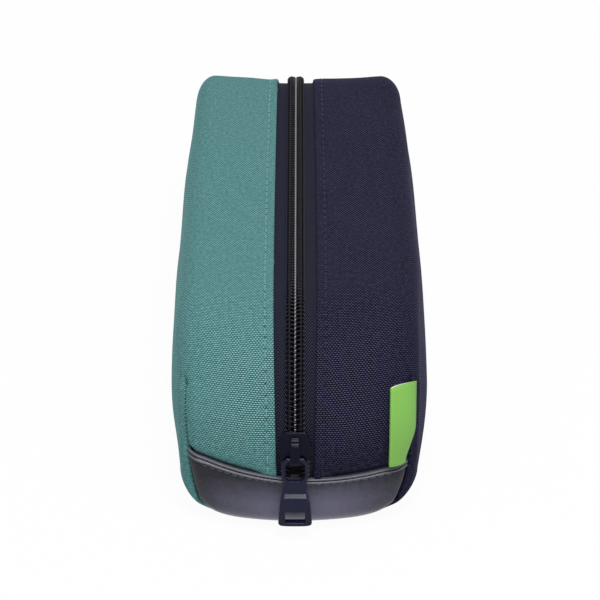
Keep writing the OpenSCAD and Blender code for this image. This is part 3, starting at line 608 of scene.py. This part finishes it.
# %% Faux leather
def faux_leather(name, light, dark, ridge_highlight, crease_shade):
    """Embossed polyurethane skin: satin, with a fine pebble of rounded cells about 0.5 mm wide.

    The face is painted light in its middle and dark towards its ends and under the bead, a painted
    sheen and painted shade. The UV map holds the distance below the edge, in millimetres, and the
    two ridges there carry painted highlights with painted shade between them.
    """
    material, tree, shader = finish_of(name, IOR=1.5)
    shader.inputs["Specular IOR Level"].default_value = 0.35
    place = node(tree, "TexCoord").outputs["Object"]
    pebble = node(tree, "TexVoronoi", {"Vector": place, "Scale": 1 / (0.55 * MM)},
                  feature="SMOOTH_F1").outputs[0]
    grain = node(tree, "TexNoise", {"Vector": place, "Scale": 1 / (1.6 * MM), "Detail": 4.0}).outputs["Fac"]
    cloud = node(tree, "TexNoise", {"Vector": place, "Scale": 1 / (18 * MM), "Detail": 2.0}).outputs["Fac"]
    height = node(tree, "Math", {0: grain, 1: 0.6, 2: pebble}, operation="MULTIPLY_ADD").outputs[0]
    shade = node(tree, "Math", {0: cloud, 1: 0.7, 2: grain}, operation="MULTIPLY_ADD").outputs[0]
    axes = node(tree, "SeparateXYZ", {0: place}).outputs
    aside = node(tree, "Math", {0: axes[0]}, operation="ABSOLUTE").outputs[0]
    # Painted sheen and shade: the face is lighter in its middle, darker towards its ends and up under the
    # bead.
    inner = node(tree, "MapRange", {0: aside, 1: 36 * MM, 2: 9 * MM}).outputs[0]
    lower = node(tree, "MapRange", {0: axes[2], 1: 20 * MM, 2: 10 * MM}).outputs[0]
    painted_sheen = node(tree, "Math", {0: inner, 1: lower}, operation="MULTIPLY").outputs[0]
    mottle_and_sheen = node(tree, "Math", {0: shade, 1: 0.35, 2: painted_sheen}, operation="MULTIPLY_ADD").outputs[0]
    level = node(tree, "MapRange", {0: mottle_and_sheen, 1: 0.38, 2: 1.28}).outputs[0]
    ramp = node(tree, "ValToRGB", {0: level})
    ramp.color_ramp.elements[0].color, ramp.color_ramp.elements[1].color = linear(dark), linear(light)
    below = node(tree, "SeparateXYZ", {0: node(tree, "UVMap", uv_map="cloth").outputs["UV"]}).outputs[0]
    share = node(tree, "Math", {0: below, 1: 5.0}, operation="DIVIDE").outputs[0]
    edge = node(tree, "ValToRGB", {0: share})
    edge.color_ramp.elements[0].color, edge.color_ramp.elements[1].color = linear(ridge_highlight), (0, 0, 0, 0)
    edge.color_ramp.elements[1].position = 0.5
    # Painted highlights on the bead's two ridges, painted shade in the channel between them and in the
    # crease below.
    ridges = (0.05, ridge_highlight), (0.08, crease_shade), (0.18, crease_shade), (0.22, ridge_highlight), (0.29, ridge_highlight), (0.34, crease_shade)
    for at, shown in ridges:
        edge.color_ramp.elements.new(at).color = linear(shown)
    mixed = node(tree, "MixRGB", {0: edge.outputs[1], 1: ramp.outputs[0], 2: edge.outputs[0]}).outputs[0]
    tree.links.new(mixed, shader.inputs["Base Color"])
    gloss = node(tree, "MapRange", {0: shade, 1: 0.4, 2: 1.2, 3: 0.24, 4: 0.34}).outputs[0]
    tree.links.new(gloss, shader.inputs["Roughness"])
    bump = node(tree, "Bump", {"Height": height, "Strength": 0.2, "Distance": 0.04 * MM})
    tree.links.new(bump.outputs[0], shader.inputs["Normal"])
    return material


# Light and dark are the ends of the face's painted sheen and shade; the last two are the bead's painted
# highlight and painted shade.
leather = faux_leather("faux_leather_navy", "#605E74", "#0E0F1D", "#62636F", "#07070B")

# %% Base strip
LEATHER_T = 0.8
SEW_IN, SEW_PITCH, SEW_L = 2.1, 2.4, 1.5
# Section of the beaded edge as (distance below the edge, depth), from the turned-in side outwards:
# a thin upper ridge, a channel, a fuller lower ridge and the crease in which it is sewn down
BEAD = np.array([(1.2, 0.95), (0.3, 0.9), (0.03, 0.6), (0.0, 0.2), (0.05, -0.25), (0.13, -0.5),
                 (0.24, -0.52), (0.36, -0.3), (0.5, 0.05), (0.66, 0.15), (0.82, 0.0), (1.0, -0.4),
                 (1.16, -0.62), (1.34, -0.66), (1.52, -0.5), (1.64, -0.1), (1.72, 0.3), (1.82, 0.42),
                 (2.0, 0.36), (2.3, 0.22), (2.9, 0.12), (3.8, 0.05), (4.8, 0.02), (6.2, 0.0)])
BASE_ROWS, BASE_COLS, SEAM_COLS = 130, 96, 10


def leather_depth(below, s, b):
    """Depth of the leather: needle holes in the crease, a padded face and a tuck at the corner seams."""
    x = b * FLAT_HALF
    holes = 0.12 * bell(below - SEW_IN, 0.35) * np.cos(2 * np.pi * x / SEW_PITCH)
    _, z, _ = station(s)
    swell = 0.9 * smooth((TONGUE_H - z - 3) / 5) * smooth(z / 7) * smooth((B_EDGE - np.abs(b)) / 0.5)
    return holes - swell + seam_depth(s, girth(b) - girth(seam_place(s)))


def base_strip(name):
    """The leather on a grid: from the bead at the back, under the pouch, to the bead at the front."""
    below = np.concatenate([BEAD[:, 0], np.full(BASE_ROWS, 99.0), BEAD[::-1, 0]])
    bead = np.concatenate([BEAD[:, 1], np.zeros(BASE_ROWS), BEAD[::-1, 1]])
    middle = np.linspace(S_BACK + BEAD[-1, 0], S_UNDER - BEAD[-1, 0], BASE_ROWS + 2)[1:-1]
    s = np.concatenate([S_BACK + BEAD[:, 0], middle, S_UNDER - BEAD[::-1, 0]])
    edge = 1 - 0.25 * np.linspace(1, 0, SEAM_COLS)[1:] ** 1.6
    share = np.concatenate([-edge[::-1], np.linspace(-0.75, 0.75, BASE_COLS), edge])
    length, share = np.meshgrid(s, share, indexing="ij")
    place = share * seam_place(length)
    depth = bead[:, None] + leather_depth(below[:, None], length, place)
    faces = grid_faces(*length.shape)[:, ::-1]
    uv = np.stack(np.broadcast_arrays(below[:, None], girth(place)), -1).reshape(-1, 2)[faces]
    piece = make_piece(name, skin(length, place, depth), faces, [leather], uv=uv)
    return thicken(piece, LEATHER_T)


base = base_strip("base_leather")
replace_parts(base, "base_panel")


def edge_stitch(name, front):
    """The row of stitches below one bead, from corner to corner."""
    count = int(2 * FLAT_HALF / SEW_PITCH)
    start = (np.arange(count) - (count - 1) / 2) * SEW_PITCH - SEW_L / 2
    x = start[:, None] + SEW_L * STITCH_SHAPE
    s = np.full_like(x, S_UNDER - SEW_IN if front else S_BACK + SEW_IN)
    b = x / FLAT_HALF
    lift = 0.3 * STITCH_ARCH - 0.28
    path = skin(s, b, leather_depth(SEW_IN, s, b) - lift)
    away = skin(s, b, -1.0) - skin(s, b, 0.0)
    points = tube(path, away, np.full(s.shape, THREAD_WIDE), np.full(s.shape, THREAD_HIGH), STITCH_SIDES)
    faces = tube_faces(count, len(STITCH_SHAPE), STITCH_SIDES)
    return make_piece(name, points, faces, [grey_thread])


edge_stitch("front_edge_stitch", True)
edge_stitch("back_edge_stitch", False)

# %% [markdown]
# ## Zip tapes
# Zip tape is woven in a herringbone: slanting ribs that turn back at a middle line, which lets the
# tape bend round corners. The UV map holds millimetres across and along the tape. Folding the
# across value back on itself turns straight slanting lines into chevrons.

# %% Zip tapes
TAPE_IN, TAPE_W, TAPE_T, TAPE_D = 1.5, 11.0, 0.6, 1.3
TAPE_UNDER = 4.0
RIB_PITCH, RIB_BAND, RIB_SLOPE = 1.15, 2.6, 1.5


def herringbone(name, light, dark):
    """Rib height is the sine of length along the tape plus a folded distance across it.

    The real ribs are about 0.7 mm apart. They are drawn at 1.15 mm so that they still show.
    """
    material, tree, shader = finish_of(name, Roughness=0.8, IOR=1.5)
    shader.inputs["Specular IOR Level"].default_value = 0.12
    place = node(tree, "UVMap", uv_map="cloth").outputs["UV"]
    axes = node(tree, "SeparateXYZ", {0: place}).outputs
    folded = node(tree, "Math", {0: axes[0], 1: RIB_BAND}, operation="PINGPONG").outputs[0]
    slant = node(tree, "Math", {0: folded, 1: RIB_SLOPE, 2: axes[1]}, operation="MULTIPLY_ADD").outputs[0]
    turn = node(tree, "Math", {0: slant, 1: 2 * np.pi / RIB_PITCH}, operation="MULTIPLY").outputs[0]
    rib = node(tree, "Math", {0: turn}, operation="SINE").outputs[0]
    yarn = node(tree, "TexNoise", {"Vector": place, "Scale": 3.0, "Detail": 2.0}).outputs["Fac"]
    uneven = node(tree, "Math", {0: yarn, 1: 0.8, 2: rib}, operation="MULTIPLY_ADD").outputs[0]
    level = node(tree, "MapRange", {0: uneven, 1: 0.25, 2: 1.8}).outputs[0]
    ramp = node(tree, "ValToRGB", {0: level})
    ramp.color_ramp.elements[0].color, ramp.color_ramp.elements[1].color = linear(dark), linear(light)
    tree.links.new(ramp.outputs[0], shader.inputs["Base Color"])
    bump = node(tree, "Bump", {"Height": uneven, "Strength": 0.6, "Distance": 0.08 * MM})
    tree.links.new(bump.outputs[0], shader.inputs["Normal"])
    return material


tape_weave = herringbone("herringbone_zip_tape", "#40415B", "#040508")


def zip_tape(name, side):
    """A flat strip under the cloth edge: lengths along the zip by distances across the tape."""
    s = np.linspace(S_FRONT - TAPE_UNDER, S_BACK + TAPE_UNDER, 260)
    x = TAPE_IN + TAPE_W * np.linspace(0, 1, 15)
    length, across = np.meshgrid(s, x, indexing="ij")
    faces = grid_faces(*length.shape)[:, ::-side]
    uv = np.stack([across, length], -1).reshape(-1, 2)[faces]
    points = skin(length, side * across / FLAT_HALF, TAPE_D)
    return thicken(make_piece(name, points, faces, [tape_weave], uv=uv), TAPE_T)


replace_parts(zip_tape("left_zip_tape_cloth", -1), "left_zip_tape")
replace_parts(zip_tape("right_zip_tape_cloth", 1), "right_zip_tape")

# %% [markdown]
# ## Zip coils
# A coil zip is two springs of nylon filament sewn along the tapes. Each turn's inner bend is a tooth
# that locks between two turns of the other spring. So each coil is a true helix, flattened on its
# tape, and the second is half a turn behind the first. Inside the slider and below it the two coils
# part. A line of thread ties each coil down.

# %% Zip coils
COIL_PITCH, FILAMENT_WIDE, FILAMENT_FLAT = 1.5, 0.42, 0.27
COIL_INNER, COIL_OUTER = 0.02, 2.66
COIL_MID_DEPTH, COIL_HALF_H = 0.05, 0.74
COIL_FROM, COIL_TO = S_FRONT + 0.8, S_BACK - 0.8
SLIDER_AT = -np.radians(71.1471) * FRONT_R
SLIDER_HALF_L, PART_W, POST_AT, RUN_CLEAR = 5.4, 1.48, 1.5, 0.4
TURN_STEPS = 16
TIE_AT, TIE_DEPTH, TIE_WIDE, TIE_HIGH = 1.75, -0.92, 0.3, 0.2


def coil_parting(s):
    """How far each coil stands aside for the slider's post: none above the slider, full below it."""
    start = SLIDER_HALF_L - RUN_CLEAR
    return PART_W * smooth((start - (s - SLIDER_AT)) / (start + POST_AT))


def along_zip(s, x, depth):
    """A point of the zip and the direction of the zip there."""
    b = x / FLAT_HALF
    return skin(s, b, depth), skin(s + 0.1, b, depth) - skin(s - 0.1, b, depth)


def nylon_filament(name, colour, glint_colour, bends):
    """Dyed nylon monofilament, drawn smooth: nearly black, with painted glints on the bends.

    The heads in the middle of the zip are painted pale as glints, and a little of the outer bends too.
    """
    material, tree, shader = finish_of(name, Roughness=0.22, IOR=1.53)
    shader.inputs["Specular IOR Level"].default_value = 0.15
    place = node(tree, "TexCoord").outputs["Object"]
    from_middle = node(tree, "VectorMath", {0: place, 1: (ZIP_OFF * MM, 0, 0)}, operation="ADD").outputs[0]
    across = node(tree, "SeparateXYZ", {0: from_middle}).outputs[0]
    beside = node(tree, "Math", {0: across}, operation="ABSOLUTE").outputs[0]
    head = node(tree, "MapRange", {0: beside, 1: 0.32 * MM, 2: 0.18 * MM}).outputs[0]
    bend = node(tree, "MapRange", {0: beside, 1: 2.5 * MM, 2: 2.8 * MM, 3: 0.0, 4: bends}).outputs[0]
    pale = node(tree, "Math", {0: head, 1: bend}, operation="MAXIMUM").outputs[0]
    mixed = node(tree, "MixRGB", {0: pale, 1: linear(colour), 2: linear(glint_colour)}).outputs[0]
    tree.links.new(mixed, shader.inputs["Base Color"])
    return material


# Painted highlights: each coil's pale colour stands in for the glints on its heads and outer bends.
left_filament = nylon_filament("nylon_coil_left", "#0B0B14", "#585B74", 0.6)
right_filament = nylon_filament("nylon_coil_right", "#0A0A11", "#B4B2A8", 0.2)


def zip_coil(name, side, shift, filament):
    """A helix: x swings between the inner and outer bends, depth swings a quarter turn behind it."""
    turns = int((COIL_TO - COIL_FROM) / COIL_PITCH) - 1
    t = np.arange(turns * TURN_STEPS) / TURN_STEPS
    angle = 2 * np.pi * t
    s = COIL_FROM + COIL_PITCH * (t + shift)
    x = lerp(COIL_INNER, COIL_OUTER, (1 - np.cos(angle)) / 2) + coil_parting(s)
    depth = COIL_MID_DEPTH - COIL_HALF_H * np.sin(angle)
    path, ahead = along_zip(s, side * x, depth)
    points = tube(path, ahead, np.full(s.shape, FILAMENT_WIDE), np.full(s.shape, FILAMENT_FLAT), 7)
    return make_piece(name, points, tube_faces(1, len(s), 7), [filament])


def coil_thread(name, side):
    """The thread that ties a coil to its tape: it dips between the turns and rises over each one."""
    s = np.arange(COIL_FROM, COIL_TO, COIL_PITCH / 6)
    x = TIE_AT + 0.1 * np.sin(2 * np.pi * s / COIL_PITCH) + coil_parting(s)
    depth = TIE_DEPTH + 0.12 * np.cos(2 * np.pi * s / COIL_PITCH)
    path, _ = along_zip(s, side * x, depth)
    away = skin(s, side * x / FLAT_HALF, depth - 1) - path
    points = tube(path, away, np.full(s.shape, TIE_WIDE), np.full(s.shape, TIE_HIGH), 6)
    return make_piece(name, points, tube_faces(1, len(s), 6), [dark_thread_and_hole_shade])


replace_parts(zip_coil("left_coil_filament", -1, 0.5, left_filament), "left_zip_coil")
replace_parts(zip_coil("right_coil_filament", 1, 0.0, right_filament), "right_zip_coil")
coil_thread("left_coil_thread", -1)
coil_thread("right_coil_thread", 1)

# %% [markdown]
# ## Slider, bridge and pull
# The slider is cast in zinc and dipped in dark blue enamel, which rounds every edge and pools in the
# corners. The CAD solids have the right shape with sharp edges. Each one is copied, rebuilt on a
# fine voxel grid and smoothed, which is what a coat of enamel does.

# %% Enamelled castings
def enamel(name, colour, roughness, reflection):
    """Stoved enamel on zinc: deep colour under a clear gloss, with a faint orange-peel ripple."""
    material, tree, shader = finish_of(name, Roughness=roughness, IOR=1.5)
    shader.inputs["Specular IOR Level"].default_value = reflection
    place = node(tree, "TexCoord").outputs["Object"]
    peel = node(tree, "TexNoise", {"Vector": place, "Scale": 1 / (1.2 * MM), "Detail": 1.0}).outputs["Fac"]
    ramp = node(tree, "ValToRGB", {0: peel})
    ramp.color_ramp.elements[0].color = tuple(0.8 * c for c in linear(colour)[:3]) + (1,)
    ramp.color_ramp.elements[1].color = linear(colour)
    tree.links.new(ramp.outputs[0], shader.inputs["Base Color"])
    bump = node(tree, "Bump", {"Height": peel, "Strength": 0.03, "Distance": 0.05 * MM})
    tree.links.new(bump.outputs[0], shader.inputs["Normal"])
    return material


slider_enamel = enamel("stoved_enamel_dark_navy", "#0B0D1F", 0.16, 0.09)
# The pull's enamel is a lighter copy of the slider's: a painted sheen.
pull_enamel = enamel("stoved_enamel_navy_painted_sheen", "#1B1D37", 0.17, 0.15)
VOXEL, SMOOTH_ROUNDS, BRIDGE_ROUNDS = 0.11, 26, 70


def casting(name, cad_node, body, finish, rounds=SMOOTH_ROUNDS):
    """A copy of a CAD solid with its points merged, rebuilt on voxels and smoothed."""
    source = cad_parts[cad_node].data
    points = np.empty(len(source.vertices) * 3, np.float32)
    source.vertices.foreach_get("co", points)
    faces = np.empty(len(source.loops), np.int32)
    source.loops.foreach_get("vertex_index", faces)
    kept, merged = np.unique(points.reshape(-1, 3).round(7), axis=0, return_inverse=True)
    piece = make_piece(name, kept, merged.ravel()[faces].reshape(-1, 3), [finish], body)
    rebuild = piece.modifiers.new("rebuild", "REMESH")
    rebuild.mode, rebuild.voxel_size, rebuild.use_smooth_shade = "VOXEL", VOXEL * MM, True
    soften = piece.modifiers.new("soften", "SMOOTH")
    soften.factor, soften.iterations = 0.5, rounds
    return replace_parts(piece, cad_node)


casting("slider_casting", "zip_slider", "slider", slider_enamel)
casting("bridge_casting", "slider_bridge", "slider", slider_enamel, BRIDGE_ROUNDS)
casting("pull_casting", "pull_tab", "pull", pull_enamel)

# %% [markdown]
# ## The side label
# A strip of lime satin ribbon is folded double and sewn into the right corner seam. The ribbon is a
# sheet whose line across runs from the seam along the lower leaf, round the fold and back along the
# upper leaf, which bellies out a little. The whole label droops, most at its sewn lower corner. The
# inside is undyed.

# %% Side label
LABEL_W, LABEL_H, LABEL_T, LABEL_UP = 7.4, 20.5, 0.35, 3.6
LABEL_OFF, LEAF_GAP, LABEL_STAND = 0.35, 0.1, 2.3
LABEL_OUT, LABEL_TAPER, FOLD_DROOP, SEAM_DROOP = 1.1, 2.6, 1.3, 3.4


def ribbon(name, colour, shade):
    """Woven satin ribbon: a soft sheen over very fine ribs, drawn at 0.35 mm so that they show."""
    material, tree, shader = finish_of(name, Roughness=0.6, IOR=1.5)
    shader.inputs["Specular IOR Level"].default_value = 0.25
    place = node(tree, "UVMap", uv_map="cloth").outputs["UV"]
    rib = node(tree, "TexWave", {"Vector": place, "Scale": 0.314 / 0.35, "Distortion": 0.6, "Detail": 1.0},
               bands_direction="Y").outputs["Fac"]
    ramp = node(tree, "ValToRGB", {0: rib})
    ramp.color_ramp.elements[0].color, ramp.color_ramp.elements[1].color = linear(shade), linear(colour)
    tree.links.new(ramp.outputs[0], shader.inputs["Base Color"])
    bump = node(tree, "Bump", {"Height": rib, "Strength": 0.3, "Distance": 0.04 * MM})
    tree.links.new(bump.outputs[0], shader.inputs["Normal"])
    return material


lime_ribbon = ribbon("satin_ribbon_lime", "#86C15C", "#79B150")
pale_ribbon = ribbon("satin_ribbon_undyed", "#E9EEE2", "#D8DFD0")


def label_place(share, up):
    """Lateral place at a share of the label's width in from the seam, which takes in its lower end."""
    fold = FLAT_HALF + EDGE_R * np.sin((B_SEAM - B_EDGE) * np.pi / 2) + LABEL_OUT - LABEL_W
    x = fold + (LABEL_W - LABEL_TAPER * (1 - smooth(up / 0.45))) * (1 - share)
    round_the_edge = B_EDGE + np.arcsin(np.clip((x - FLAT_HALF) / EDGE_R, 0, 1)) * 2 / np.pi
    return np.where(x < FLAT_HALF, x / FLAT_HALF, round_the_edge)


def side_label(name):
    """The ribbon on a grid of height by the line across: lower leaf, half round of the fold, upper leaf."""
    leaf = np.linspace(0, 0.93, 12)
    low = LABEL_OFF * (0.2 + 1.8 * smooth(leaf / 0.3))
    high = low + 2 * LABEL_T + LEAF_GAP + LABEL_STAND * smooth(leaf)
    turn = np.linspace(-90, 90, 9)[1:-1] * np.pi / 180
    middle, half = (low[-1] + high[-1]) / 2, (high[-1] - low[-1]) / 2
    share = np.concatenate([leaf, leaf[-1] + 0.07 * np.cos(turn), leaf[::-1]])
    stand = np.concatenate([low, middle + half * np.sin(turn), high[::-1]])
    z = TONGUE_H + LABEL_UP + LABEL_H * np.linspace(0, 1, 24)
    s = line_length(-1, z)
    up = np.linspace(0, 1, 24)[:, None]
    under_leaf = 0.9 * smooth(np.linspace(1.6, -0.8, len(share)))
    length, share = np.meshgrid(s, share, indexing="ij")
    low_edge = -lerp(SEAM_DROOP, FOLD_DROOP, share)
    hung = length + lerp(low_edge, (under_leaf - FOLD_DROOP) * share**2, up)
    swelling = np.minimum(leather_tuck(hung), 0) * smooth(share / 0.25)
    points = skin(hung, label_place(share, up), swelling - stand)
    steps = np.linalg.norm(np.diff(points, axis=1), axis=-1)
    along = np.concatenate([np.zeros((len(s), 1)), np.cumsum(steps, 1)], 1) / MM
    faces = grid_faces(*length.shape)[:, ::-1]
    uv = np.stack([along, length], -1).reshape(-1, 2)[faces]
    piece = make_piece(name, points, faces, [lime_ribbon, pale_ribbon], uv=uv)
    thicken(piece, LABEL_T, inside=1)
    return piece


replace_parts(side_label("label_ribbon"), "side_label")

# %% [markdown]
# ## Lining and bound seams
# Inside, a thin taffeta lining hangs a little in from the cloth, and the raw edges of the corner
# seams are bound in tape. They follow the same skin at a greater depth.

# %% Lining
LINING_D, LINING_T, LINING_HALF = 2.2, 0.45, 9.2
BINDING_D, BINDING_W, BINDING_T = 3.6, 5.0, 1.2
SEAM_LAP = 0.055


def taffeta(name, light, dark):
    """Plain taffeta: smooth and close woven, with faint slubs of thicker yarn about 3 mm long."""
    material, tree, shader = finish_of(name, Roughness=0.6, IOR=1.5)
    place = node(tree, "TexCoord").outputs["Object"]
    slub = node(tree, "TexNoise", {"Vector": place, "Scale": 1 / (3 * MM), "Detail": 3.0}).outputs["Fac"]
    ramp = node(tree, "ValToRGB", {0: slub})
    ramp.color_ramp.elements[0].color, ramp.color_ramp.elements[1].color = linear(dark), linear(light)
    tree.links.new(ramp.outputs[0], shader.inputs["Base Color"])
    bump = node(tree, "Bump", {"Height": slub, "Strength": 0.2, "Distance": 0.1 * MM})
    tree.links.new(bump.outputs[0], shader.inputs["Normal"])
    return material


lining_cloth = taffeta("taffeta_lining_grey", "#454650", "#303139")


def lining_half(name, side):
    """Half the lining: a coarser grid of the same skin, cut back at the zip."""
    upper = np.linspace(S_FRONT, S_BACK, 110)
    s = np.concatenate([upper, rows_below(upper, side)])
    seam = seam_place(s)[:, None]
    to_seam = lerp(LINING_HALF / FLAT_HALF, seam, np.linspace(0, 1, 10))
    to_spine = lerp(seam, B_SPINE, np.linspace(0, 1, 12)[1:])
    place = np.concatenate([to_seam, to_spine], 1)
    rows, cols = place.shape
    faces = grid_faces(rows, cols, around_rows=True)
    kept = (faces[:, 0] % cols >= to_seam.shape[1] - 1) | (faces[:, 0] // cols < len(upper) - 1)
    used, faces = np.unique(faces[kept][:, ::-side], return_inverse=True)
    points = skin(s[:, None], side * place, LINING_D).reshape(-1, 3)[used]
    piece = make_piece(name, points, faces.reshape(-1, 4), [lining_cloth])
    piece.modifiers.new("close the spine", "WELD").merge_threshold = 0.002 * MM
    return thicken(piece, LINING_T)


def base_lining(name):
    """The lining of the base, between the two corner seams."""
    s, share = np.linspace(S_BACK, S_UNDER, 70), np.linspace(-0.98, 0.98, 24)
    length, share = np.meshgrid(s, share, indexing="ij")
    points = skin(length, share * seam_place(length), LINING_D)
    faces = grid_faces(*length.shape)[:, ::-1]
    return thicken(make_piece(name, points, faces, [lining_cloth]), LINING_T)


def seam_binding(name, side):
    """Tape folded over the raw edges: a flat oval carried down one corner, along the base and up."""
    high = line_length(1, SEAM_H), line_length(-1, SEAM_H) + ROUND_LEN
    s = np.linspace(*high, 120)
    place = side * (seam_place(s) - SEAM_LAP)
    path = skin(s, place, BINDING_D + BINDING_W / 2)
    toward = skin(s, place, BINDING_D + BINDING_W) - path
    points = tube(path, toward, np.full(s.shape, BINDING_T / 2), np.full(s.shape, BINDING_W / 2), 12)
    return make_piece(name, points, tube_faces(1, len(s), 12), [tape_plain])


tape_plain = taffeta("binding_tape_navy", "#35364A", "#232433")
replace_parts(lining_half("left_lining_cloth", -1), "left_lining")
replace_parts(lining_half("right_lining_cloth", 1), "right_lining")
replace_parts(base_lining("base_lining_cloth"), "base_lining")
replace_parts(seam_binding("left_binding_tape", -1), "left_seam_binding")
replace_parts(seam_binding("right_binding_tape", 1), "right_seam_binding")

# %% [markdown]
# ## Floor and light
# The pouch stands on a plain white floor in soft studio light. The floor answers camera rays with
# most of a white glow and keeps a part of its lit shade, so the background is white and the shadow
# stays. The world does the same, and gives an even fill to everything else. A key lamp stands above
# and a small weak one behind the camera, which puts gleams on the bead, the bridge and the pull.

# %% Floor and light
FLOOR_SIZE = 6.0
KEY_AT, KEY_SIZE, KEY_POWER = (0.1, -0.3, 1.15), 0.5, 10.2
FRONT_AT, FRONT_SIZE, FRONT_POWER = (0.06, -1.0, 0.7), 0.14, 1.3
FILL, FLOOR_GLOW = 0.32, 0.955


def white_to_camera(tree):
    """A factor that is 1 for camera, glossy and transmission rays."""
    path = node(tree, "LightPath").outputs
    seen = node(tree, "Math", {0: path["Is Camera Ray"], 1: path["Is Glossy Ray"]},
                operation="MAXIMUM").outputs[0]
    return node(tree, "Math", {0: seen, 1: path["Is Transmission Ray"]}, operation="MAXIMUM").outputs[0]


floor_paint, tree, shader = finish_of("white_studio_floor", Roughness=0.9)
shader.inputs["Base Color"].default_value = (0.85, 0.85, 0.85, 1)
glow = node(tree, "Emission", {"Color": (1, 1, 1, 1), "Strength": 1.0}).outputs[0]
share = node(tree, "Math", {0: white_to_camera(tree), 1: FLOOR_GLOW}, operation="MULTIPLY").outputs[0]
mixed = node(tree, "MixShader", {0: share, 1: shader.outputs[0], 2: glow}).outputs[0]
tree.links.new(mixed, tree.nodes["Material Output"].inputs["Surface"])

corners = np.array([(-1, -1, 0), (1, -1, 0), (1, 1, 0), (-1, 1, 0)]) * FLOOR_SIZE / 2
mesh = bpy.data.meshes.new("floor")
mesh.from_pydata(corners.tolist(), [], [(0, 1, 2, 3)])
mesh.materials.append(floor_paint)
floor = bpy.data.objects.new("floor", mesh)
scene.collection.objects.link(floor)

world = bpy.data.worlds.new("studio")
world.use_nodes = True
scene.world = world
tree = world.node_tree
strength = node(tree, "MapRange", {0: white_to_camera(tree), 3: FILL, 4: 1.0}).outputs[0]
tree.nodes["Background"].inputs["Color"].default_value = (1, 1, 1, 1)
tree.links.new(strength, tree.nodes["Background"].inputs["Strength"])


def area_lamp(name, at, size, power):
    """A square lamp that faces the middle of the pouch."""
    lamp = bpy.data.lights.new(name, "AREA")
    lamp.energy, lamp.size = power, size
    held = bpy.data.objects.new(name, lamp)
    held.location = at
    held.rotation_euler = (Vector((0, 0, 0.03)) - Vector(at)).to_track_quat("-Z", "Y").to_euler()
    scene.collection.objects.link(held)


area_lamp("key", KEY_AT, KEY_SIZE, KEY_POWER)
area_lamp("front", FRONT_AT, FRONT_SIZE, FRONT_POWER)
scene.view_settings.view_transform = "Standard"
print("key light", KEY_POWER, "W, front light", FRONT_POWER, "W, fill", FILL)
